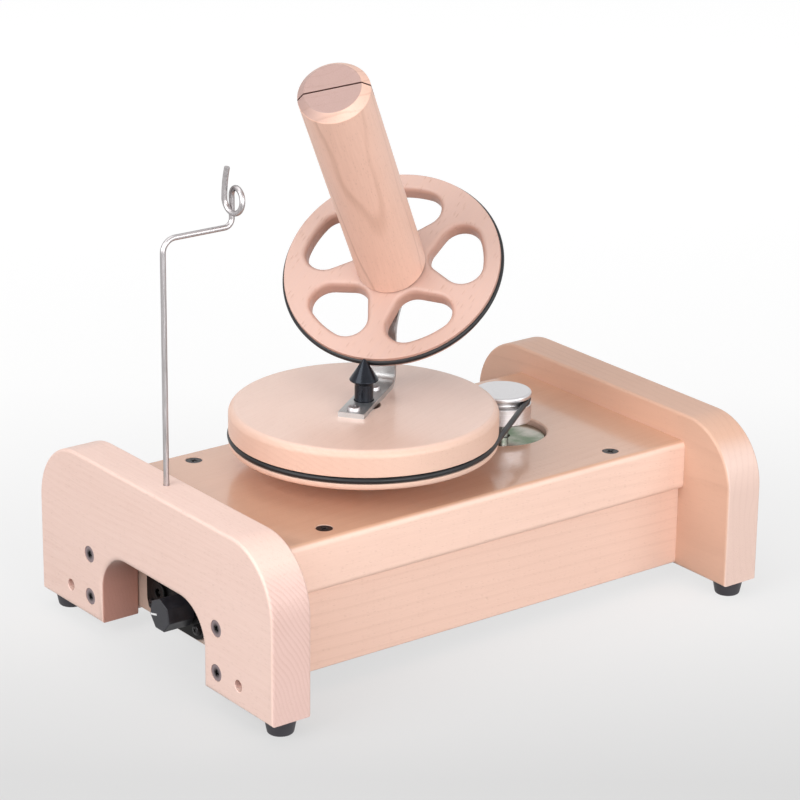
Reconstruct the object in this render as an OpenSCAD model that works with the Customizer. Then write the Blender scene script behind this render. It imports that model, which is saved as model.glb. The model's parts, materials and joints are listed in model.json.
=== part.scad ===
// Electric yarn ball winder. A beech base holds a motor that turns a wooden turntable by a round belt.
// The turntable carries a leaning bobbin: a spool on a wheel whose rubber tyre runs on a fixed friction
// cone, so the bobbin turns slowly on its axle while the turntable carries it round. A wire guide feeds
// the yarn. The origin is on the floor under the middle of the base, with X along its length and Z up.

/* [Base] */
// Length over the two end panels
base_l = 363; // [340:1:420]
// Thickness of an end panel
panel_t = 26.5; // [20:0.5:30]
// Width of an end panel
panel_w = 243; // [235:1:300]
// Height of an end panel
panel_h = 100; // [92:1:130]
// Radius of an end panel's top corners
panel_r = 40; // [15:1:45]
// Width of the arch in an end panel
arch_w = 108; // [104:1:118]
// Height of the arch in an end panel
arch_h = 47; // [44:1:50]
// Radius of the arch's top corners
arch_r = 25; // [10:1:40]
// Radius of the two plain holes in an end panel's outer face
clamp_hole_r = 3.5; // [2:0.1:5]
// Depth of those holes
clamp_hole_depth = 16; // [8:1:18]
// Distance between the two plain holes in an end panel
clamp_hole_gap = 177; // [172:1:200]
// Height of the plain holes and of the lower panel screws above the panel's bottom
low_row_z = 13; // [9:0.5:16]
// Height of the upper panel screws above the panel's bottom
high_row_z = 40; // [30:0.5:44]
// Width of the deck board
deck_w = 162; // [156:1:166]
// Thickness of the deck board
deck_t = 31.5; // [26:0.5:34]
// Height of the deck's top above the panels' bottom
deck_z = 83; // [80:0.5:90]
// Radius of the deck's long edges
deck_edge_r = 4; // [1:0.5:6]
// Thickness of the front and rear rails
rail_t = 20; // [16:0.5:24]
// Distance of a rail's outer face in from the deck's edge
rail_inset = 4.3; // [2:0.1:6]
// Height of the rails' bottom above the panels' bottom
rail_low = 1.5; // [0.5:0.5:2]
// Thickness of the two cross boards between the rails
cross_t = 15; // [13:0.5:18]
// Height of the cross boards' bottom above the panels' bottom
cross_low = 4.5; // [3:0.5:5]
// Thickness of the bottom cover
cover_t = 4; // [3:0.5:5]
// Height of the bottom cover above the panels' bottom
cover_low = 2.5; // [2:0.5:4]
// Side of the square cleats that carry the bottom cover
cleat_s = 12; // [10:1:14]
// Distance of a deck screw from the end panel beside it
deck_screw_in = 48; // [44:0.5:56]

/* [Feet and screws] */
// Height of a rubber foot
foot_h = 10; // [6:0.5:14]
// Radius of a foot at its top
foot_top_r = 9.5; // [8:0.5:10]
// Radius of a foot at its bottom
foot_low_r = 7.5; // [6.5:0.5:8]
// Distance of a foot's middle in from the end of its panel
foot_in = 11; // [10:0.5:14]
// Depth of the recess for the screw in a foot
foot_recess = 4; // [3:0.5:4.5]
// Radius of the countersunk screws' heads
screw_head_r = 5; // [4.5:0.1:6]
// Height of the countersunk screws' heads
screw_head_h = 2.8; // [2:0.1:3.5]
// Radius of the countersunk screws' shanks
screw_r = 2.3; // [1.8:0.1:2.6]
// Length of the panel screws
panel_screw_l = 60; // [45:1:70]
// Length of the deck screws
deck_screw_l = 50; // [42:1:58]
// Radius of the small pan head screws' heads
small_head_r = 3.4; // [3:0.1:3.6]
// Height of the small pan head screws' heads
small_head_h = 2; // [1.5:0.1:2.4]
// Radius of the small screws' shanks
small_screw_r = 1.5; // [1:0.1:1.8]
// Length of the small screws under the head
small_screw_l = 14; // [12:0.5:16]

/* [Turntable] */
// Distance of the turntable's axis from the middle of the base, towards the left panel
turntable_x = 30; // [26:0.5:34]
// Radius of the turntable
turntable_r = 80.5; // [76:0.5:84]
// Thickness of the turntable
turntable_t = 24; // [22:0.5:30]
// Gap between the deck and the turntable
turntable_gap = 15; // [12:0.5:16]
// Radius of the turntable's top edge
turntable_edge_r = 4.5; // [1:0.5:6]
// Radius of the turntable's lower edge
turntable_low_r = 2.5; // [1:0.5:3]
// Radius of the hole in the turntable's top, round the friction cone's post
turntable_hole_r = 10; // [8.5:0.5:12]
// Radius of the fixed centre spindle
spindle_r = 6; // [5:0.5:7]
// Radius of the spindle's collar on the deck
collar_r = 9; // [8.5:0.5:11]
// Outer radius of a turntable bearing
bearing_r = 14; // [13:0.5:16]
// Width of a turntable bearing
bearing_w = 8; // [7:0.5:9]
// Distance between the two turntable bearings
bearing_gap = 2; // [1:0.5:3]
// Radial running clearance of every shaft in its bearing
running_gap = 0.05; // [0.02:0.01:0.08]
// Gap between flat faces that turn past each other
face_gap = 0.2; // [0.1:0.05:0.4]

/* [Friction cone] */
// Radius of the cone's widest part
cone_r = 9; // [8:0.5:10]
// Height of the cone above its widest part
cone_h = 13.5; // [11:0.5:15]
// Height of the cone's widest part above the turntable
cone_z = 16; // [14:0.5:19]
// Height of the rounded underside of the cone
cone_under_h = 2.5; // [1:0.5:4]
// Radius of the cone's post
post_r = 5.6; // [5:0.1:5.8]
// Depth of the post below the turntable's top
post_depth = 4; // [3:0.5:4]
// Radius of the stud that holds the cone on the spindle
stud_r = 3; // [2:0.5:3.5]
// Length of that stud
stud_l = 14; // [10:1:18]

/* [Bobbin] */
// Lean of the spool from the vertical, in degrees
lean = 40.3; // [38:0.1:43]
// Direction in which the spool leans at rest, in degrees
lean_dir = -144.2; // [-180:0.1:180]
// Radius of the cone where the tyre runs on it
contact_r = 3.8; // [3.5:0.1:5]
// Gap left between the tyre and the cone
tyre_gap = 0.3; // [0.2:0.05:0.5]
// Radius of the tyre's section
tyre_r = 1.9; // [1.6:0.1:2.4]
// Radius of the circle along the middle of the tyre
tyre_ring_r = 66; // [60:0.5:70]
// Depth of the tyre's middle behind the wheel's front face
tyre_depth = 4.2; // [3.4:0.1:5]
// How far the middle of the tyre stands out past the wheel's rim
tyre_out = 0; // [-0.4:0.1:1.2]
// Thickness of the bobbin wheel
wheel_t = 12; // [10:0.5:14]
// Radius of the wheel's rim edges
wheel_edge_r = 1.2; // [0.4:0.1:1.4]
// Number of lightening holes in the wheel
wheel_holes = 5; // [3:1:5]
// Radius from the wheel's centre to the lightening holes' outer side
hole_out_r = 55.5; // [52:0.5:57]
// Radius from the wheel's centre to the lightening holes' inner end
hole_in_r = 23; // [22.5:0.5:26]
// Radius of a lightening hole's outer corners
hole_corner_r = 12; // [9:0.5:13]
// Radius of a lightening hole's inner end
hole_tip_r = 11; // [8:0.5:12]
// Half the angle between a lightening hole's outer corners, in degrees
hole_half_angle = 11.3; // [8:0.1:13]
// Radius of the spool
spool_r = 21; // [18:0.5:22]
// Length of the spool
spool_l = 178; // [150:1:210]
// Chamfer of the spool's top edge
spool_chamfer = 4.5; // [0.5:0.5:6]
// Width of the saw slit in the spool's top
slit_w = 1; // [0.6:0.1:2]
// Depth of the saw slit
slit_depth = 14; // [8:1:30]
// Direction of the saw slit across the spool, in degrees
slit_dir = 110; // [0:1:180]
// Radius of the bobbin's axle
axle_r = 4; // [3:0.5:5]
// Outer radius of a bobbin bearing
bobbin_bearing_r = 11; // [10:0.5:12]
// Width of a bobbin bearing
bobbin_bearing_w = 7; // [6:0.5:8]
// Depth of the bearings' bore in the spool
spool_bore_l = 70; // [50:1:90]

/* [Bracket] */
// Width of the bracket strip
strip_w = 16; // [15:0.5:18]
// Thickness of the bracket strip
strip_t = 3; // [2:0.25:4]
// Distance of the strip's front end from the turntable's axis
strip_front = 25; // [24:0.5:32]
// Distance of the strip's riser behind the turntable's axis
riser_x = 36; // [34:0.5:38]
// Radius inside the bend at the riser's foot
foot_bend_r = 6; // [3:0.5:7]
// Radius outside the bend at the riser's head
head_bend_r = 20; // [12:0.5:24]
// Distance of a bracket screw from the turntable's axis
bracket_screw_x = 19.5; // [18:0.5:20]
// Radial clearance of the friction cone's post in the strip
post_gap = 0.5; // [0.3:0.1:0.8]
// Gap between the bracket's arm and the wheel's back
arm_gap = 1; // [0.8:0.1:2]

/* [Drive] */
// Distance of the motor's axis from the middle of the base, towards the right panel
motor_x = 76.5; // [74:0.5:84]
// Radius of the hole in the deck for the motor
motor_hole_r = 27.4; // [27:0.2:30]
// Radius of the motor's can
can_r = 26; // [24:0.5:26.5]
// Wall thickness of the motor's can
can_wall = 2; // [1.5:0.1:2.5]
// Length of the motor's can
can_l = 58; // [50:1:62]
// Depth of the can's top below the deck's top
can_depth = 3.5; // [3:0.5:8]
// Radius of the motor's shaft
shaft_r = 4; // [3:0.5:5]
// Radius of the armature
armature_r = 17.5; // [15:0.5:18]
// Air gap between the armature and the magnets
air_gap = 1; // [0.5:0.1:1.5]
// Side of the square motor mount plate
mount_plate_s = 84; // [80:1:90]
// Thickness of the motor mount plate
mount_plate_t = 3; // [2:0.5:4]
// Radius of the pulley
pulley_r = 17.6; // [16.5:0.1:19]
// Height of the pulley
pulley_h = 18.5; // [17:0.5:20]
// Height of the pulley's bottom above the deck
pulley_gap = 7.8; // [6:0.1:9]
// Radius of the belt's section
belt_r = 1.75; // [1.4:0.05:2]
// Height of the belt above the deck
belt_z = 21; // [20:0.1:22]
// Depth of the belt's middle inside the turntable's rim
belt_in_turntable = 1; // [0.6:0.1:1.6]
// Depth of the belt's middle inside the pulley's rim
belt_in_pulley = 2; // [1.4:0.1:2.6]
// Clearance round the belt in its grooves
belt_gap = 0.3; // [0.2:0.05:0.4]

/* [Controls] */
// Height of the knob's axis above the panels' bottom
knob_z = 23; // [21:0.5:25]
// Number of sides of the knob
knob_sides = 7; // [6:1:10]
// Radius of the knob over its corners
knob_r = 10.3; // [9.2:0.1:11]
// Depth of the knob
knob_l = 18; // [12:0.5:20]
// Angle of the knob's pointer at rest below the horizontal, in degrees
pointer_angle = 12.6; // [-40:0.2:40]
// Length of the pointer line
pointer_l = 6.5; // [4:0.5:8]
// Width of the pointer line
pointer_w = 1.2; // [0.6:0.1:2]
// Width of the control plate
plate_w = 61; // [58:1:64]
// Height of the control plate
plate_h = 36; // [32:1:37]
// Thickness of the control plate
plate_t = 2; // [1:0.25:2.5]
// Radius of the control plate's corners
plate_r = 10; // [4:0.5:12]
// Distance of the power inlet from the knob's axis
inlet_y = 28; // [25:0.5:30]
// Height of the control plate's bottom above the panels' bottom
plate_low = 6; // [5:0.5:7]

/* [Yarn guide] */
// Radius of the guide's wire
wire_r = 1.65; // [1.25:0.05:2]
// Distance of the guide's post in from the panel's outer face
guide_in = 15; // [10:0.5:18]
// Distance of the guide's post behind the middle of the panel
guide_y = 5; // [0:0.5:20]
// Depth of the guide's hole in the panel
guide_depth = 40; // [25:1:45]
// Height of the guide's arm above the panel's top
guide_h = 146; // [143:1:190]
// Length of the guide's arm
guide_arm = 46.5; // [40:0.5:52]
// Radius of the guide's elbow, at the middle of the wire
guide_bend_r = 8; // [5:0.5:12]
// Radius of the bend at the arm's far end, at the middle of the wire
guide_tip_r = 5; // [4:0.5:7]
// Height of the eye's middle above the arm
eye_z = 17; // [13:0.5:20]
// Radius of the eye, at the middle of the wire
eye_r = 7.1; // [5:0.1:9]
// Advance of the eye's one turn along the arm
eye_pitch = 5; // [4.5:0.1:7]
// Length of the tail above the eye's middle
tail_l = 19; // [10:0.5:26]
// Forward lean of the tail's end
tail_lean = 3; // [0:0.5:4]

/* [Hidden] */
$fn = 64;
inner_x = base_l / 2 - panel_t;
panel_mid_x = base_l / 2 - panel_t / 2;
deck_under = deck_z - deck_t;
rail_y = deck_w / 2 - rail_inset - rail_t / 2;
rail_in = rail_y - rail_t / 2;
cross_x = inner_x - cross_t;
foot_y = panel_w / 2 - foot_in;
deck_screw_x = inner_x - deck_screw_in;
screw_rows = [low_row_z, high_row_z];
sides = [-1, 1];
// How far a cutting shape runs past a face
over = 1;
// Straight steps in which outlines and bent wires go round their corners
edge_steps = 8;
bend_steps = 10;
hole_steps = 14;
wire_steps = 6;
eye_steps = 28;
// Sides of a swept tube
wire_sides = 14;
cable_sides = 8;

table_low = deck_z + turntable_gap;
table_top = table_low + turntable_t;
pocket_depth = 2 * bearing_w + bearing_gap;
ring_t = 1.2;
ring_out = 2;
spindle_nut_h = 10;
spindle_nut_r = 11;
spindle_washer_t = 2;
spindle_washer_r = 14;
spindle_end = 2;

// The head frame stands on the turntable's top, with X along the direction of the lean.
cone_half = atan2(cone_r, cone_h);
cone_top = cone_z + cone_h;
touch = [-contact_r, cone_top - contact_r * cone_h / cone_r];
tyre_low = touch + (tyre_r + tyre_gap) * [-cos(cone_half), sin(cone_half)];
along = [sin(lean), cos(lean)];
across = [cos(lean), -sin(lean)];
wheel_mid = tyre_low - tyre_ring_r * across + tyre_depth * along;
wheel_r = tyre_ring_r - tyre_out;
arm_back = wheel_t + arm_gap + strip_t;
arm_mid = wheel_mid - (arm_back - strip_t / 2) * along;
riser_mid = -riser_x - strip_t / 2;
arm_foot_z = arm_mid[1] + (arm_mid[0] - riser_mid) * tan(lean);
axle_nut_h = 6.5;
axle_nut_r = 7.5;
axle_end = 2;
washer_t = arm_gap - face_gap;
top_nut_h = 6;
top_nut_r = 7;
nut_bore_r = 8;
nut_bore_l = 14;
spacer_wall = 2;
spacer_r = axle_r + spacer_wall;
spool_round_r = 2.5;
bracket_head_r = 4.2;
bracket_head_h = 2.4;
bracket_shank_r = 2;
bracket_screw_l = 18;

belt_turn_r = turntable_r - belt_in_turntable;
belt_pulley_r = pulley_r - belt_in_pulley;
belt_span = motor_x + turntable_x;
belt_half = acos((belt_turn_r - belt_pulley_r) / belt_span);
belt_run = sqrt(pow(belt_span, 2) - pow(belt_turn_r - belt_pulley_r, 2));

can_top = deck_z - can_depth;
can_low = can_top - can_l;
cap_t = 4;
seat_wall = 2;
motor_bearing_r = 11;
motor_bearing_w = 7;
magnet_in_r = armature_r + air_gap;
magnet_angle = 130;
magnet_clear = 3;
armature_clear = 3;
armature_l = can_l - cap_t - can_wall - 2 * (motor_bearing_w + armature_clear);
shaft_clear = 1;
shaft_hole_r = shaft_r + shaft_clear;
mount_screw_in = 7;
shaft_top_in = 2;
grub_r = 2;
grub_z = 4.5;
grub_in = 3;

plate_shift = 1.5;
plate_mid_y = inlet_y / 2 - plate_shift;
plate_front = -inner_x - plate_t;
knob_gap = 1;
knob_back = plate_front - knob_gap;
bush_r = 4;
bush_out = 3;
pot_r = 12;
pot_l = 9;
pot_recess = 10;
pot_nut_r = 6.3;
pot_nut_h = 2;
pot_shaft_r = 2.2;
knob_recess_r = 7.2;
knob_recess_l = 4.5;
knob_grub_z = 8;
knob_face_t = 3;
pointer_in = 1;
pointer_t = 0.5;
knob_grub_r = 1.5;
knob_grub_in = 2;
inlet_r = 5.5;
inlet_flange_r = 7;
inlet_flange_t = 2;
inlet_l = 20;
inlet_bore_r = 2.75;
inlet_bore_l = 9;
inlet_pin_r = 1;
plate_hole_in = 7;

board_l = 70;
board_w = 46;
board_t = 1.6;
// Clear space between the left cross board and the circuit board
board_in = 8.5;
board_x = board_in + board_l / 2 - cross_x;
board_gap = 9;
board_hole_in = 5;
standoff_r = 3;
standoff_peg_r = 1.4;
standoff_peg_l = 7;
// Blocks under the board: a cooler, a terminal strip and two capacitors
cooler = [10, 26, 14];
cooler_x = 2;
terminal = [12, 30, 9];
terminal_in = 1;
terminal_x = board_l / 2 - terminal[0] - terminal_in;
tank_r = 5;
tank_h = 16;
tank_x = -12;
tank_y = 9;

screw_tip_r = 0.6;
pan_taper = 0.7;
recess_w = 1.1;
recess_l = 4.6;
recess_depth = 1.6;
tip_l = 5;
small_recess_l = 3.4;
foot_round = 1.5;
foot_head_gap = 0.6;
cable_r = 1.8;
// Where the cables turn up to the board, pass each other and turn to the motor
lead_in = 7;
lead_drop = 4;
lead_y = 12;
lead_turn = 12;

beech = "#e3bfa6";
beech_dark = "#d5ad92";
black = "#1d1d1f";
rubber = "#141414";
steel = "#b9bbbd";
zinc = "#b3b06a";
aluminium = "#cfd1d3";
brass = "#b08d57";
copper = "#7b5a3c";
magnet_grey = "#3a3a3c";
board_green = "#2f6b46";
terminal_green = "#2e7d4f";
tank_blue = "#22314f";
cable_black = "#303030";

// Functions

function unit(v) = v / norm(v);

// A point of the arc from direction a to direction b, both of length one
function swing(a, b, s) = let (turn = acos(a * b))
    (sin((1 - s) * turn) * a + sin(s * turn) * b) / sin(turn);

// Points of the round corner of radius r at b, between the runs from a and to c
function corner(a, b, c, r, n) = let (
    u = unit(a - b),
    w = unit(c - b),
    half = acos(u * w) / 2,
    middle = b + unit(u + w) * r / sin(half),
    from = unit(b + u * r / tan(half) - middle),
    to = unit(b + w * r / tan(half) - middle)
) [for (i = [0 : n]) middle + r * swing(from, to, i / n)];

function tangents(p) = [for (i = [0 : len(p) - 1])
    unit(p[min(i + 1, len(p) - 1)] - p[max(i - 1, 0)])];

function square_to(n, t) = unit(n - t * (n * t));

// Directions square to a path, carried along it without twist
function carried(t, n) = [for (i = 0, m = square_to(n, t[0]); i < len(t);
    i = i + 1, m = square_to(m, t[min(i, len(t) - 1)])) m];

// Points of an arc of a circle in the plane
function arc(middle, r, from, to, n) = [for (i = [0 : n])
    let (a = from + (to - from) * i / n) middle + r * [cos(a), sin(a)]];

// Helper modules

module on_panels() { translate([0, 0, foot_h]) children(); }

module at_turntable() { on_panels() translate([-turntable_x, 0, 0]) children(); }

module at_motor() { on_panels() translate([motor_x, 0, 0]) children(); }

module at_head() { at_turntable() translate([0, 0, table_top]) rotate(lean_dir) children(); }

module at_bobbin() {
    at_head() translate([wheel_mid[0], 0, wheel_mid[1]]) rotate([0, lean, 0]) children();
}

// A shape drawn in Y and Z, thickened along X
module along_x(l) { rotate([90, 0, 90]) linear_extrude(l) children(); }

module ring(h, out_r, in_r) {
    difference() {
        cylinder(h = h, r = out_r);
        translate([0, 0, -over]) cylinder(h = h + 2 * over, r = in_r);
    }
}

module hex_nut(h, r, bore_r) {
    difference() {
        cylinder(h = h, r = r, $fn = 6);
        translate([0, 0, -over]) cylinder(h = h + 2 * over, r = bore_r, $fn = 64);
    }
}

// A plate with two round corners at its top, standing on its lower edge
module arched(w, h, r) {
    translate([-w / 2, 0]) square([w, h - r]);
    translate([r - w / 2, 0]) square([w - 2 * r, h]);
    for (s = sides) translate([s * (w / 2 - r), h - r]) circle(r);
}

module rounded(w, h, r) {
    translate([-w / 2 + r, -h / 2]) square([w - 2 * r, h]);
    translate([-w / 2, -h / 2 + r]) square([w, h - 2 * r]);
    for (sx = sides) for (sy = sides) translate([sx * (w / 2 - r), sy * (h / 2 - r)]) circle(r);
}

// A countersunk screw along Z with its head's face at zero
module countersunk(l) {
    translate([0, 0, -screw_head_h]) cylinder(h = screw_head_h, r1 = screw_r, r2 = screw_head_r);
    translate([0, 0, tip_l - l]) cylinder(h = l - tip_l - screw_head_h, r = screw_r);
    translate([0, 0, -l]) cylinder(h = tip_l, r1 = screw_tip_r, r2 = screw_r);
}

module cross_recess(l) {
    for (a = [0, 90]) rotate(a) translate([-l / 2, -recess_w / 2, -recess_depth])
        cube([l, recess_w, recess_depth + over]);
}

module countersunk_screw(l) {
    difference() {
        countersunk(l);
        cross_recess(recess_l);
    }
}

// A pan head screw along Z with its head standing on zero
module pan_screw(l, r, head_r, head_h) {
    difference() {
        union() {
            translate([0, 0, -l]) cylinder(h = l, r = r);
            cylinder(h = head_h, r1 = head_r, r2 = head_r - pan_taper);
        }
        translate([0, 0, head_h]) cross_recess(small_recess_l);
    }
}

module small_screw() { pan_screw(small_screw_l, small_screw_r, small_head_r, small_head_h); }

module small_hole() {
    translate([0, 0, -small_screw_l]) cylinder(h = small_screw_l + over, r = small_screw_r);
}

// Where pieces are fixed

module at_panel_screws(side) {
    for (y = sides) for (z = screw_rows) on_panels()
        translate([side * base_l / 2, y * rail_y, z]) rotate([0, side * 90, 0]) children();
}

module at_clamp_holes(side) {
    for (y = sides) on_panels() translate([side * base_l / 2, y * clamp_hole_gap / 2, low_row_z])
        rotate([0, side * 90, 0]) children();
}

module at_deck_screws() {
    for (x = sides) for (y = sides) on_panels()
        translate([x * deck_screw_x, y * rail_y, deck_z]) children();
}

module at_feet() {
    for (x = sides) for (y = sides) translate([x * panel_mid_x, y * foot_y, 0]) children();
}

module at_foot_screws() {
    at_feet() translate([0, 0, foot_recess]) rotate([180, 0, 0]) children();
}

module at_cover_screws() {
    for (x = sides) for (y = sides) on_panels()
        translate([x * cross_x / 2, y * (rail_in - cleat_s / 2), cover_low]) rotate([180, 0, 0])
            children();
}

module at_plate_screws() {
    for (y = sides) for (z = sides) on_panels() translate([
        plate_front,
        plate_mid_y + y * (plate_w / 2 - plate_hole_in),
        plate_low + plate_h / 2 + z * (plate_h / 2 - plate_hole_in)
    ]) rotate([0, -90, 0]) children();
}

module at_knob() {
    on_panels() translate([0, 0, knob_z]) rotate([0, -90, 0]) rotate([0, 0, 90]) children();
}

module at_inlet() {
    on_panels() translate([plate_front, inlet_y, knob_z]) rotate([0, -90, 0]) children();
}

module at_mount_screws() {
    for (x = sides) for (y = sides) at_motor() translate([
        x * (mount_plate_s / 2 - mount_screw_in),
        y * (mount_plate_s / 2 - mount_screw_in),
        deck_under - mount_plate_t
    ]) rotate([180, 0, 0]) children();
}

module at_standoffs() {
    for (x = sides) for (y = sides) on_panels() translate([
        board_x + x * (board_l / 2 - board_hole_in),
        y * (board_w / 2 - board_hole_in),
        deck_under
    ]) rotate([180, 0, 0]) children();
}

module at_bracket_screws() {
    for (s = sides) at_head() translate([s * bracket_screw_x, 0, strip_t]) children();
}

module at_guide() {
    on_panels() translate([guide_in - base_l / 2, guide_y, panel_h]) children();
}

// Base

module end_panel(side) {
    color(beech) difference() {
        on_panels() translate([side > 0 ? inner_x : -base_l / 2, 0, 0]) along_x(panel_t) difference() {
            arched(panel_w, panel_h, panel_r);
            translate([0, -over]) arched(arch_w, arch_h + over, arch_r);
        }
        at_clamp_holes(side) translate([0, 0, -clamp_hole_depth])
            cylinder(h = clamp_hole_depth + over, r = clamp_hole_r);
        at_panel_screws(side) countersunk(panel_screw_l);
        at_foot_screws() small_hole();
        if (side < 0) at_guide() translate([0, 0, -guide_depth])
            cylinder(h = guide_depth + over, r = wire_r + running_gap);
    }
}

module left_end_panel() { end_panel(-1); }

module right_end_panel() { end_panel(1); }

module deck_board() {
    color(beech) difference() {
        on_panels() translate([-inner_x, 0, deck_under + deck_t / 2])
            along_x(2 * inner_x) rounded(deck_w, deck_t, deck_edge_r);
        at_deck_screws() countersunk(deck_screw_l);
        at_motor() translate([0, 0, deck_under - over])
            cylinder(h = deck_t + 2 * over, r = motor_hole_r);
        at_turntable() translate([0, 0, deck_under - over])
            cylinder(h = deck_t + 2 * over, r = spindle_r);
        at_mount_screws() small_hole();
        at_standoffs() translate([0, 0, -standoff_peg_l])
            cylinder(h = standoff_peg_l + over, r = standoff_peg_r);
    }
}

module rail(side) {
    color(beech) difference() {
        on_panels() translate([-inner_x, side * rail_y - rail_t / 2, rail_low])
            cube([2 * inner_x, rail_t, deck_under - rail_low]);
        for (end = sides) at_panel_screws(end) countersunk(panel_screw_l);
        at_deck_screws() countersunk(deck_screw_l);
    }
}

module front_rail() { rail(-1); }

module rear_rail() { rail(1); }

module cross_board(side) {
    on_panels() translate([side > 0 ? cross_x : -inner_x, -rail_in, cross_low])
        cube([cross_t, 2 * rail_in, deck_under - cross_low]);
}

module left_cross_board() {
    color(beech_dark) difference() {
        cross_board(-1);
        at_knob() translate([0, 0, cross_x - over]) cylinder(h = cross_t + 2 * over, r = bush_r);
        at_knob() translate([0, 0, cross_x - over]) cylinder(h = pot_recess + over, r = pot_r);
        at_inlet() translate([0, 0, -plate_t - cross_t - over])
            cylinder(h = cross_t + 2 * over, r = inlet_r);
        at_plate_screws() small_hole();
    }
}

module right_cross_board() { color(beech_dark) cross_board(1); }

module bottom_cover() {
    color(beech_dark) difference() {
        on_panels() translate([-cross_x, -rail_in, cover_low]) cube([2 * cross_x, 2 * rail_in, cover_t]);
        at_cover_screws() small_hole();
    }
}

module cover_cleats() {
    color(beech_dark) difference() {
        for (y = sides) on_panels()
            translate([-cross_x, y * (rail_in - cleat_s / 2) - cleat_s / 2, cover_low + cover_t])
                cube([2 * cross_x, cleat_s, cleat_s]);
        at_cover_screws() small_hole();
    }
}

module cover_screws() { color(steel) at_cover_screws() small_screw(); }

module rubber_feet() {
    color(rubber) at_feet() difference() {
        union() {
            translate([0, 0, foot_round])
                cylinder(h = foot_h - foot_round, r1 = foot_low_r, r2 = foot_top_r);
            rotate_extrude() {
                square([foot_low_r - foot_round, foot_round]);
                translate([foot_low_r - foot_round, foot_round]) intersection() {
                    circle(foot_round);
                    translate([0, -foot_round]) square(foot_round);
                }
            }
        }
        translate([0, 0, -over]) cylinder(h = foot_recess + over, r = small_head_r + foot_head_gap);
        cylinder(h = foot_h + over, r = small_screw_r);
    }
}

module foot_screws() { color(steel) at_foot_screws() small_screw(); }

module panel_screws() {
    color(black) for (side = sides) at_panel_screws(side) countersunk_screw(panel_screw_l);
}

module deck_screws() { color(black) at_deck_screws() countersunk_screw(deck_screw_l); }

// Controls

module control_plate() {
    color(black) difference() {
        on_panels() translate([plate_front, plate_mid_y, plate_low + plate_h / 2])
            along_x(plate_t) rounded(plate_w, plate_h, plate_r);
        at_knob() translate([0, 0, inner_x - over]) cylinder(h = plate_t + 2 * over, r = bush_r);
        at_inlet() translate([0, 0, -plate_t - over]) cylinder(h = plate_t + 2 * over, r = inlet_r);
        at_plate_screws() small_hole();
    }
}

module plate_screws() { color(black) at_plate_screws() small_screw(); }

module potentiometer() {
    pot_front = cross_x + pot_recess;
    color(steel) at_knob() difference() {
        union() {
            translate([0, 0, pot_front - pot_l]) cylinder(h = pot_l, r = pot_r);
            translate([0, 0, pot_front]) cylinder(h = inner_x + plate_t + bush_out - pot_front, r = bush_r);
        }
        translate([0, 0, pot_front - pot_l / 2])
            cylinder(h = cross_t + pot_l + plate_t + bush_out, r = pot_shaft_r + running_gap);
    }
}

module pot_nut() {
    color(steel) at_knob() translate([0, 0, inner_x + plate_t]) hex_nut(pot_nut_h, pot_nut_r, bush_r);
}

module power_inlet() {
    color(black) at_inlet() difference() {
        union() {
            cylinder(h = inlet_flange_t, r = inlet_flange_r);
            translate([0, 0, inlet_flange_t - inlet_l]) cylinder(h = inlet_l - over, r = inlet_r);
        }
        translate([0, 0, inlet_flange_t - inlet_bore_l])
            ring(inlet_bore_l + over, inlet_bore_r, inlet_pin_r);
    }
}

module circuit_board() {
    color(board_green) difference() {
        on_panels() translate([board_x - board_l / 2, -board_w / 2, deck_under - board_gap - board_t])
            cube([board_l, board_w, board_t]);
        at_standoffs() cylinder(h = board_gap + board_t + over, r = standoff_peg_r);
    }
}

module board_standoffs() {
    color(aluminium) at_standoffs() {
        cylinder(h = board_gap, r = standoff_r);
        translate([0, 0, -standoff_peg_l])
            cylinder(h = standoff_peg_l + board_gap + board_t, r = standoff_peg_r);
        translate([0, 0, board_gap + board_t]) cylinder(h = small_head_h, r = standoff_r);
    }
}

module board_components() {
    on_panels() translate([board_x, 0, deck_under - board_gap - board_t]) rotate([180, 0, 0]) {
        color(aluminium) translate([cooler_x, -cooler[1] / 2, 0]) cube(cooler);
        color(terminal_green) translate([terminal_x, -terminal[1] / 2, 0]) cube(terminal);
        color(tank_blue) for (y = sides) translate([tank_x, y * tank_y, 0]) cylinder(h = tank_h, r = tank_r);
    }
}

// A round tube along a path of points
module tube(path, r, n, up) {
    t = tangents(path);
    a = carried(t, up);
    points = [for (i = [0 : len(path) - 1]) for (k = [0 : n - 1])
        path[i] + r * (cos(360 * k / n) * a[i] + sin(360 * k / n) * cross(t[i], a[i]))];
    last = len(path) - 1;
    walls = [for (i = [0 : last - 1]) for (k = [0 : n - 1]) for (half = [0, 1])
        let (next = (k + 1) % n)
        half == 0
            ? [i * n + k, (i + 1) * n + next, i * n + next]
            : [i * n + k, (i + 1) * n + k, (i + 1) * n + next]];
    ends = [[for (k = [0 : n - 1]) k], [for (k = [0 : n - 1]) last * n + n - 1 - k]];
    polyhedron(points, concat(walls, ends));
}

// A cable between two points with round corners at the points between them
module cable(points) {
    bend = 3 * cable_r;
    last = len(points) - 1;
    bends = [for (i = [1 : last - 1]) each corner(points[i - 1], points[i], points[i + 1], bend, wire_steps)];
    // Any direction that no stretch of the cable runs along
    askew = [0.3, 1, 0.2];
    tube(concat([points[0]], bends, [points[last]]), cable_r, cable_sides, askew);
}

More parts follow.
